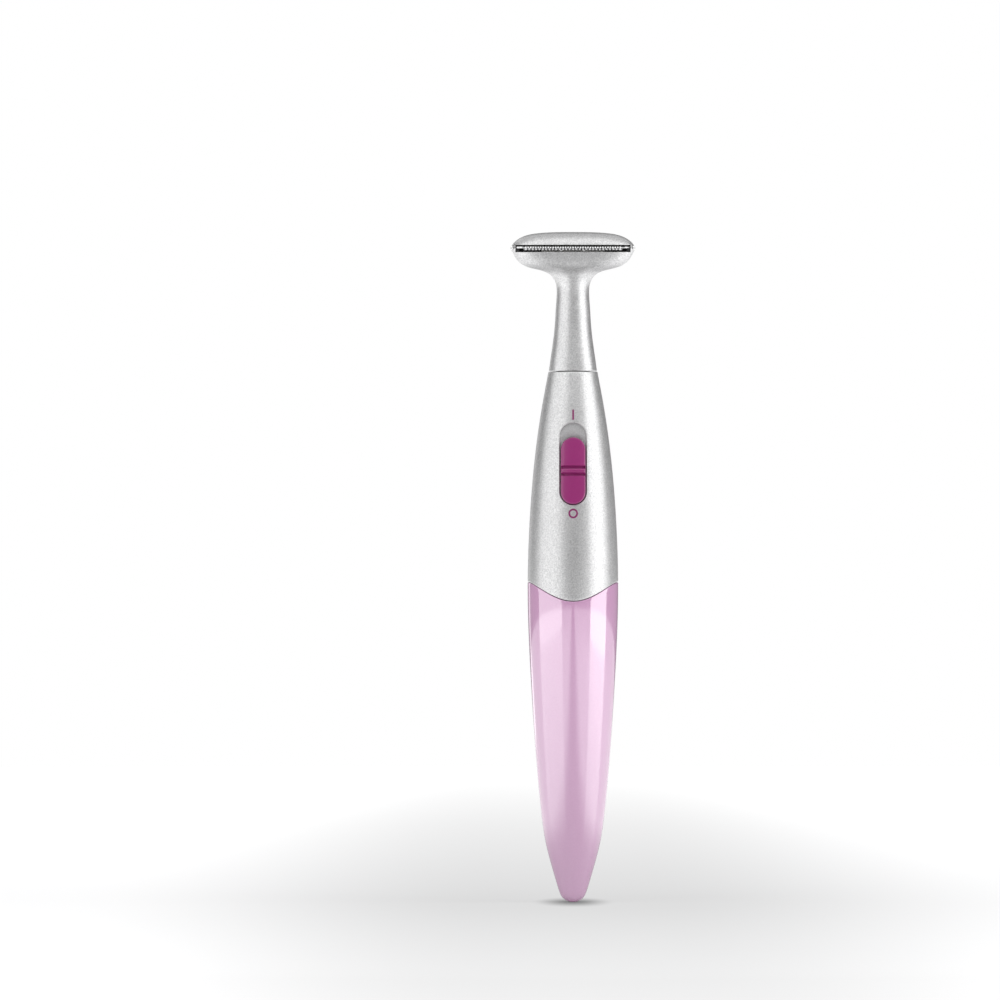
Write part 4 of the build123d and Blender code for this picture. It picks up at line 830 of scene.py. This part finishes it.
def springTree(s):
    tree = bpy.data.node_groups.new("contactSpring", "GeometryNodeTree")
    face = tree.interface
    labels = {"Turns": "NodeSocketFloat", "Start": "NodeSocketFloat", "End": "NodeSocketFloat",
              "Wire": "NodeSocketFloat", "Height": "NodeSocketFloat", "Low": "NodeSocketVector",
              "Finish": "NodeSocketMaterial"}
    face.new_socket("Geometry", in_out="INPUT", socket_type="NodeSocketGeometry")
    ids = {k: face.new_socket(k, in_out="INPUT", socket_type=v).identifier for k, v in labels.items()}
    face.new_socket("Geometry", in_out="OUTPUT", socket_type="NodeSocketGeometry")
    add, link = tree.nodes.new, tree.links.new
    given, out = add("NodeGroupInput"), add("NodeGroupOutput")
    coil, wire = add("GeometryNodeCurveSpiral"), add("GeometryNodeCurvePrimitiveCircle")
    coil.inputs["Resolution"].default_value = s["perTurn"]
    wire.inputs["Resolution"].default_value = s["sides"]
    for label, socket in (("Turns", "Rotations"), ("Start", "Start Radius"), ("End", "End Radius"),
                          ("Height", "Height")):
        link(given.outputs[label], coil.inputs[socket])
    link(given.outputs["Wire"], wire.inputs["Radius"])
    skin, move = add("GeometryNodeCurveToMesh"), add("GeometryNodeTransform")
    real, paint = add("GeometryNodeRealizeInstances"), add("GeometryNodeSetMaterial")
    skin.inputs["Fill Caps"].default_value = True
    link(coil.outputs["Curve"], skin.inputs["Curve"])
    link(wire.outputs["Curve"], skin.inputs["Profile Curve"])
    link(skin.outputs["Mesh"], move.inputs["Geometry"])
    link(given.outputs["Low"], move.inputs["Translation"])
    link(move.outputs["Geometry"], real.inputs["Geometry"])
    link(real.outputs["Geometry"], paint.inputs["Geometry"])
    link(given.outputs["Finish"], paint.inputs["Material"])
    link(paint.outputs["Geometry"], out.inputs["Geometry"])
    return tree, ids


def buildSpring(s):
    tree, ids = springTree(s)
    height = s["high"] - s["low"]
    values = {ids["Turns"]: height / s["pitch"], ids["Start"]: s["r"] * mm,
              ids["End"]: (s["r"] + s["spread"]) * mm, ids["Wire"]: s["wire"] * mm,
              ids["Height"]: height * mm, ids["Low"]: (0.0, 0.0, s["low"] * mm),
              ids["Finish"]: mats["springSteel"]}
    mesh = grow(bpy.data.meshes.new("springSeed"), tree, values)
    mesh.name = "contactSpring"
    return mesh


contactSpring = newObject("contactSpring", buildSpring(springSettings), "handle", None, ("negative_spring",))
print("stage: battery", len(contactSpring.data.vertices))

cameraSettings = {"x": -18.5, "z": 102.0, "distance": 3171.0, "lens": 450.0}
# the last three keys size a painted contact shadow on the floor round the tip
stageSettings = {"radius": 1.6, "rings": 48, "around": 96, "glowNear": 0.55, "glowFar": 0.98,
                 "fadeFrom": 0.05, "fadeTo": 1.5, "bounce": 0.8, "bounceMid": 0.05, "dimHalf": 0.02,
                 "dimEdge": 0.13, "paintedShadowReach": 0.011, "paintedShadowShape": (1, 0.25, 1), "paintedShadowDepth": 0.15}
worldSettings = {"seen": 1.0, "felt": 0.16}
lightSettings = {
    "leftBox": {"place": (-0.695, -0.354, 0.22), "aim": (0, 0, 0.09), "size": (1.12, 1.1), "power": 4.6},
    "rightBox": {"place": (0.648, -0.236, 0.22), "aim": (0, 0, 0.09), "size": (0.67, 1.1), "power": 4.4},
    "topBox": {"place": (0.0, -0.51, 0.78), "aim": (0, 0, 0.16), "size": (1.0, 0.85), "power": 3.4},
    "backTopBox": {"place": (0.0, 0.3, 0.95), "aim": (0, 0, 0.16), "size": (1.3, 0.9), "power": 2.0},
    "rimBox": {"place": (-0.33, 0.56, 0.3), "aim": (0, 0, 0.09), "size": (0.16, 0.9), "power": 0.4},
}


# Round floor sheet: to the camera it glows, brighter far off, with a painted contact shadow round the tip; to
# other rays it glows dim in a strip down the middle
def buildStage(s, name, finish):
    verts, faces = [(0.0, 0.0, 0.0)], []
    n = s["around"]
    angles = [2 * math.pi * j / n for j in range(n)]
    for i in range(1, s["rings"] + 1):
        r = s["radius"] * (i / s["rings"]) ** 2
        verts += [(r * math.cos(a), r * math.sin(a), 0.0) for a in angles]
    for j in range(n):
        faces.append((0, 1 + j, 1 + (j + 1) % n))
    for i in range(s["rings"] - 1):
        a, b = 1 + i * n, 1 + (i + 1) * n
        for j in range(n):
            faces.append((a + j, b + j, b + (j + 1) % n, a + (j + 1) % n))
    mesh = bpy.data.meshes.new(name)
    mesh.from_pydata(verts, [], faces)
    mesh.materials.append(finish)
    floor = bpy.data.objects.new(name, mesh)
    bpy.context.scene.collection.objects.link(floor)
    tree = finish.node_tree
    place, far = tree.nodes.new("ShaderNodeTexCoord"), tree.nodes.new("ShaderNodeVectorMath")
    far.operation = "LENGTH"
    glow = tree.nodes.new("ShaderNodeMapRange")
    for label, value in (("From Min", s["fadeFrom"]), ("From Max", s["fadeTo"]), ("To Min", s["glowNear"]),
                         ("To Max", s["glowFar"])):
        glow.inputs[label].default_value = value
    tree.links.new(place.outputs["Object"], far.inputs[0])
    tree.links.new(far.outputs["Value"], glow.inputs["Value"])
    # painted contact shadow: the glow the camera sees is darkened in a squeezed ellipse round the tip
    squeeze, nearBy = tree.nodes.new("ShaderNodeMapping"), tree.nodes.new("ShaderNodeVectorMath")
    squeeze.inputs["Scale"].default_value = s["paintedShadowShape"]
    nearBy.operation = "LENGTH"
    shade, path = tree.nodes.new("ShaderNodeMapRange"), tree.nodes.new("ShaderNodeLightPath")
    shade.interpolation_type = "SMOOTHSTEP"
    shade.inputs["From Max"].default_value = s["paintedShadowReach"]
    shade.inputs["To Min"].default_value = s["paintedShadowDepth"]
    tree.links.new(place.outputs["Object"], squeeze.inputs["Vector"])
    tree.links.new(squeeze.outputs["Vector"], nearBy.inputs[0])
    tree.links.new(nearBy.outputs["Value"], shade.inputs["Value"])
    shaded, seen = tree.nodes.new("ShaderNodeMath"), tree.nodes.new("ShaderNodeMapRange")
    shaded.operation = "MULTIPLY"
    tree.links.new(glow.outputs["Result"], shaded.inputs[0])
    tree.links.new(shade.outputs["Result"], shaded.inputs[1])
    split, aside = tree.nodes.new("ShaderNodeSeparateXYZ"), tree.nodes.new("ShaderNodeMath")
    aside.operation = "ABSOLUTE"
    lift = tree.nodes.new("ShaderNodeMapRange")
    lift.interpolation_type = "SMOOTHSTEP"
    for label, value in (("From Min", s["dimHalf"]), ("From Max", s["dimEdge"]), ("To Min", s["bounceMid"]),
                         ("To Max", s["bounce"])):
        lift.inputs[label].default_value = value
    tree.links.new(place.outputs["Object"], split.inputs[0])
    tree.links.new(split.outputs["X"], aside.inputs[0])
    tree.links.new(aside.outputs["Value"], lift.inputs["Value"])
    tree.links.new(lift.outputs["Result"], seen.inputs["To Min"])
    tree.links.new(path.outputs["Is Camera Ray"], seen.inputs["Value"])
    tree.links.new(shaded.outputs["Value"], seen.inputs["To Max"])
    tree.links.new(seen.outputs["Result"], tree.nodes["Principled BSDF"].inputs["Emission Strength"])
    return floor


cardSettings = {"half": 0.024, "near": -0.032, "far": -0.18, "z": 0.104, "divide": 6}


def buildCard(s):    # a dark card below the head's hollow, which only mirror rays meet: a painted shade in the middle of the bowl
    n = s["divide"]
    verts = [(-s["half"] + 2 * s["half"] * i / n, s["far"] + (s["near"] - s["far"]) * j / n, s["z"])
             for j in range(n + 1) for i in range(n + 1)]
    faces = [(j * (n + 1) + i, j * (n + 1) + i + 1, (j + 1) * (n + 1) + i + 1, (j + 1) * (n + 1) + i)
             for j in range(n) for i in range(n)]
    mesh = bpy.data.meshes.new("darkCard")
    mesh.from_pydata(verts, [], faces)
    mesh.materials.append(mats["blackPlasticAndPaintedShade"])
    card = bpy.data.objects.new("darkCard", mesh)
    bpy.context.scene.collection.objects.link(card)
    card.visible_camera = card.visible_shadow = card.visible_diffuse = False


buildCard(cardSettings)


def areaLight(name, s):
    data = bpy.data.lights.new(name, "AREA")
    data.shape, data.energy = "RECTANGLE", s["power"]
    data.size, data.size_y = s["size"]
    light = bpy.data.objects.new(name, data)
    light.location = s["place"]
    light.rotation_euler = (Vector(s["aim"]) - Vector(s["place"])).to_track_quat("-Z", "Y").to_euler()
    light.visible_camera = False
    bpy.context.scene.collection.objects.link(light)
    return light


# A white studio to the camera, a dimmer room in reflections
def buildWorld(s):
    world = bpy.data.worlds.new("studio")
    world.use_nodes = True
    tree = world.node_tree
    back = tree.nodes["Background"]
    back.inputs["Color"].default_value = (1, 1, 1, 1)
    path, level = tree.nodes.new("ShaderNodeLightPath"), tree.nodes.new("ShaderNodeMapRange")
    level.inputs["To Min"].default_value = s["felt"]
    level.inputs["To Max"].default_value = s["seen"]
    tree.links.new(path.outputs["Is Camera Ray"], level.inputs["Value"])
    tree.links.new(level.outputs["Result"], back.inputs["Strength"])
    bpy.context.scene.world = world


floor = buildStage(stageSettings, "floor", mats["floorPaper"])          # what the camera sees
floor.visible_glossy = floor.visible_diffuse = floor.visible_shadow = False
underFloor = buildStage(stageSettings, "underFloor", mats["floorSheen"])    # what the object mirrors
underFloor.visible_camera = underFloor.visible_shadow = False
lights = {name: areaLight(name, s) for name, s in lightSettings.items()}
spared = bpy.data.collections.new("sparedByRim")    # the rim light leaves the floor alone
for i, sheet in enumerate((floor, underFloor)):
    spared.objects.link(sheet)
    spared.collection_objects[i].light_linking.link_state = "EXCLUDE"
lights["rimBox"].light_linking.receiver_collection = spared
buildWorld(worldSettings)
bpy.context.scene.view_settings.view_transform = "Standard"

cameraData = bpy.data.cameras.new("camera")
cameraData.lens = cameraSettings["lens"]
cameraData.clip_end = 10
camera = bpy.data.objects.new("camera", cameraData)
camera.location = (cameraSettings["x"] * mm, -cameraSettings["distance"] * mm, cameraSettings["z"] * mm)
camera.rotation_euler = (math.pi / 2, 0, 0)
bpy.context.scene.collection.objects.link(camera)
bpy.context.scene.camera = camera
print("stage: light and camera")
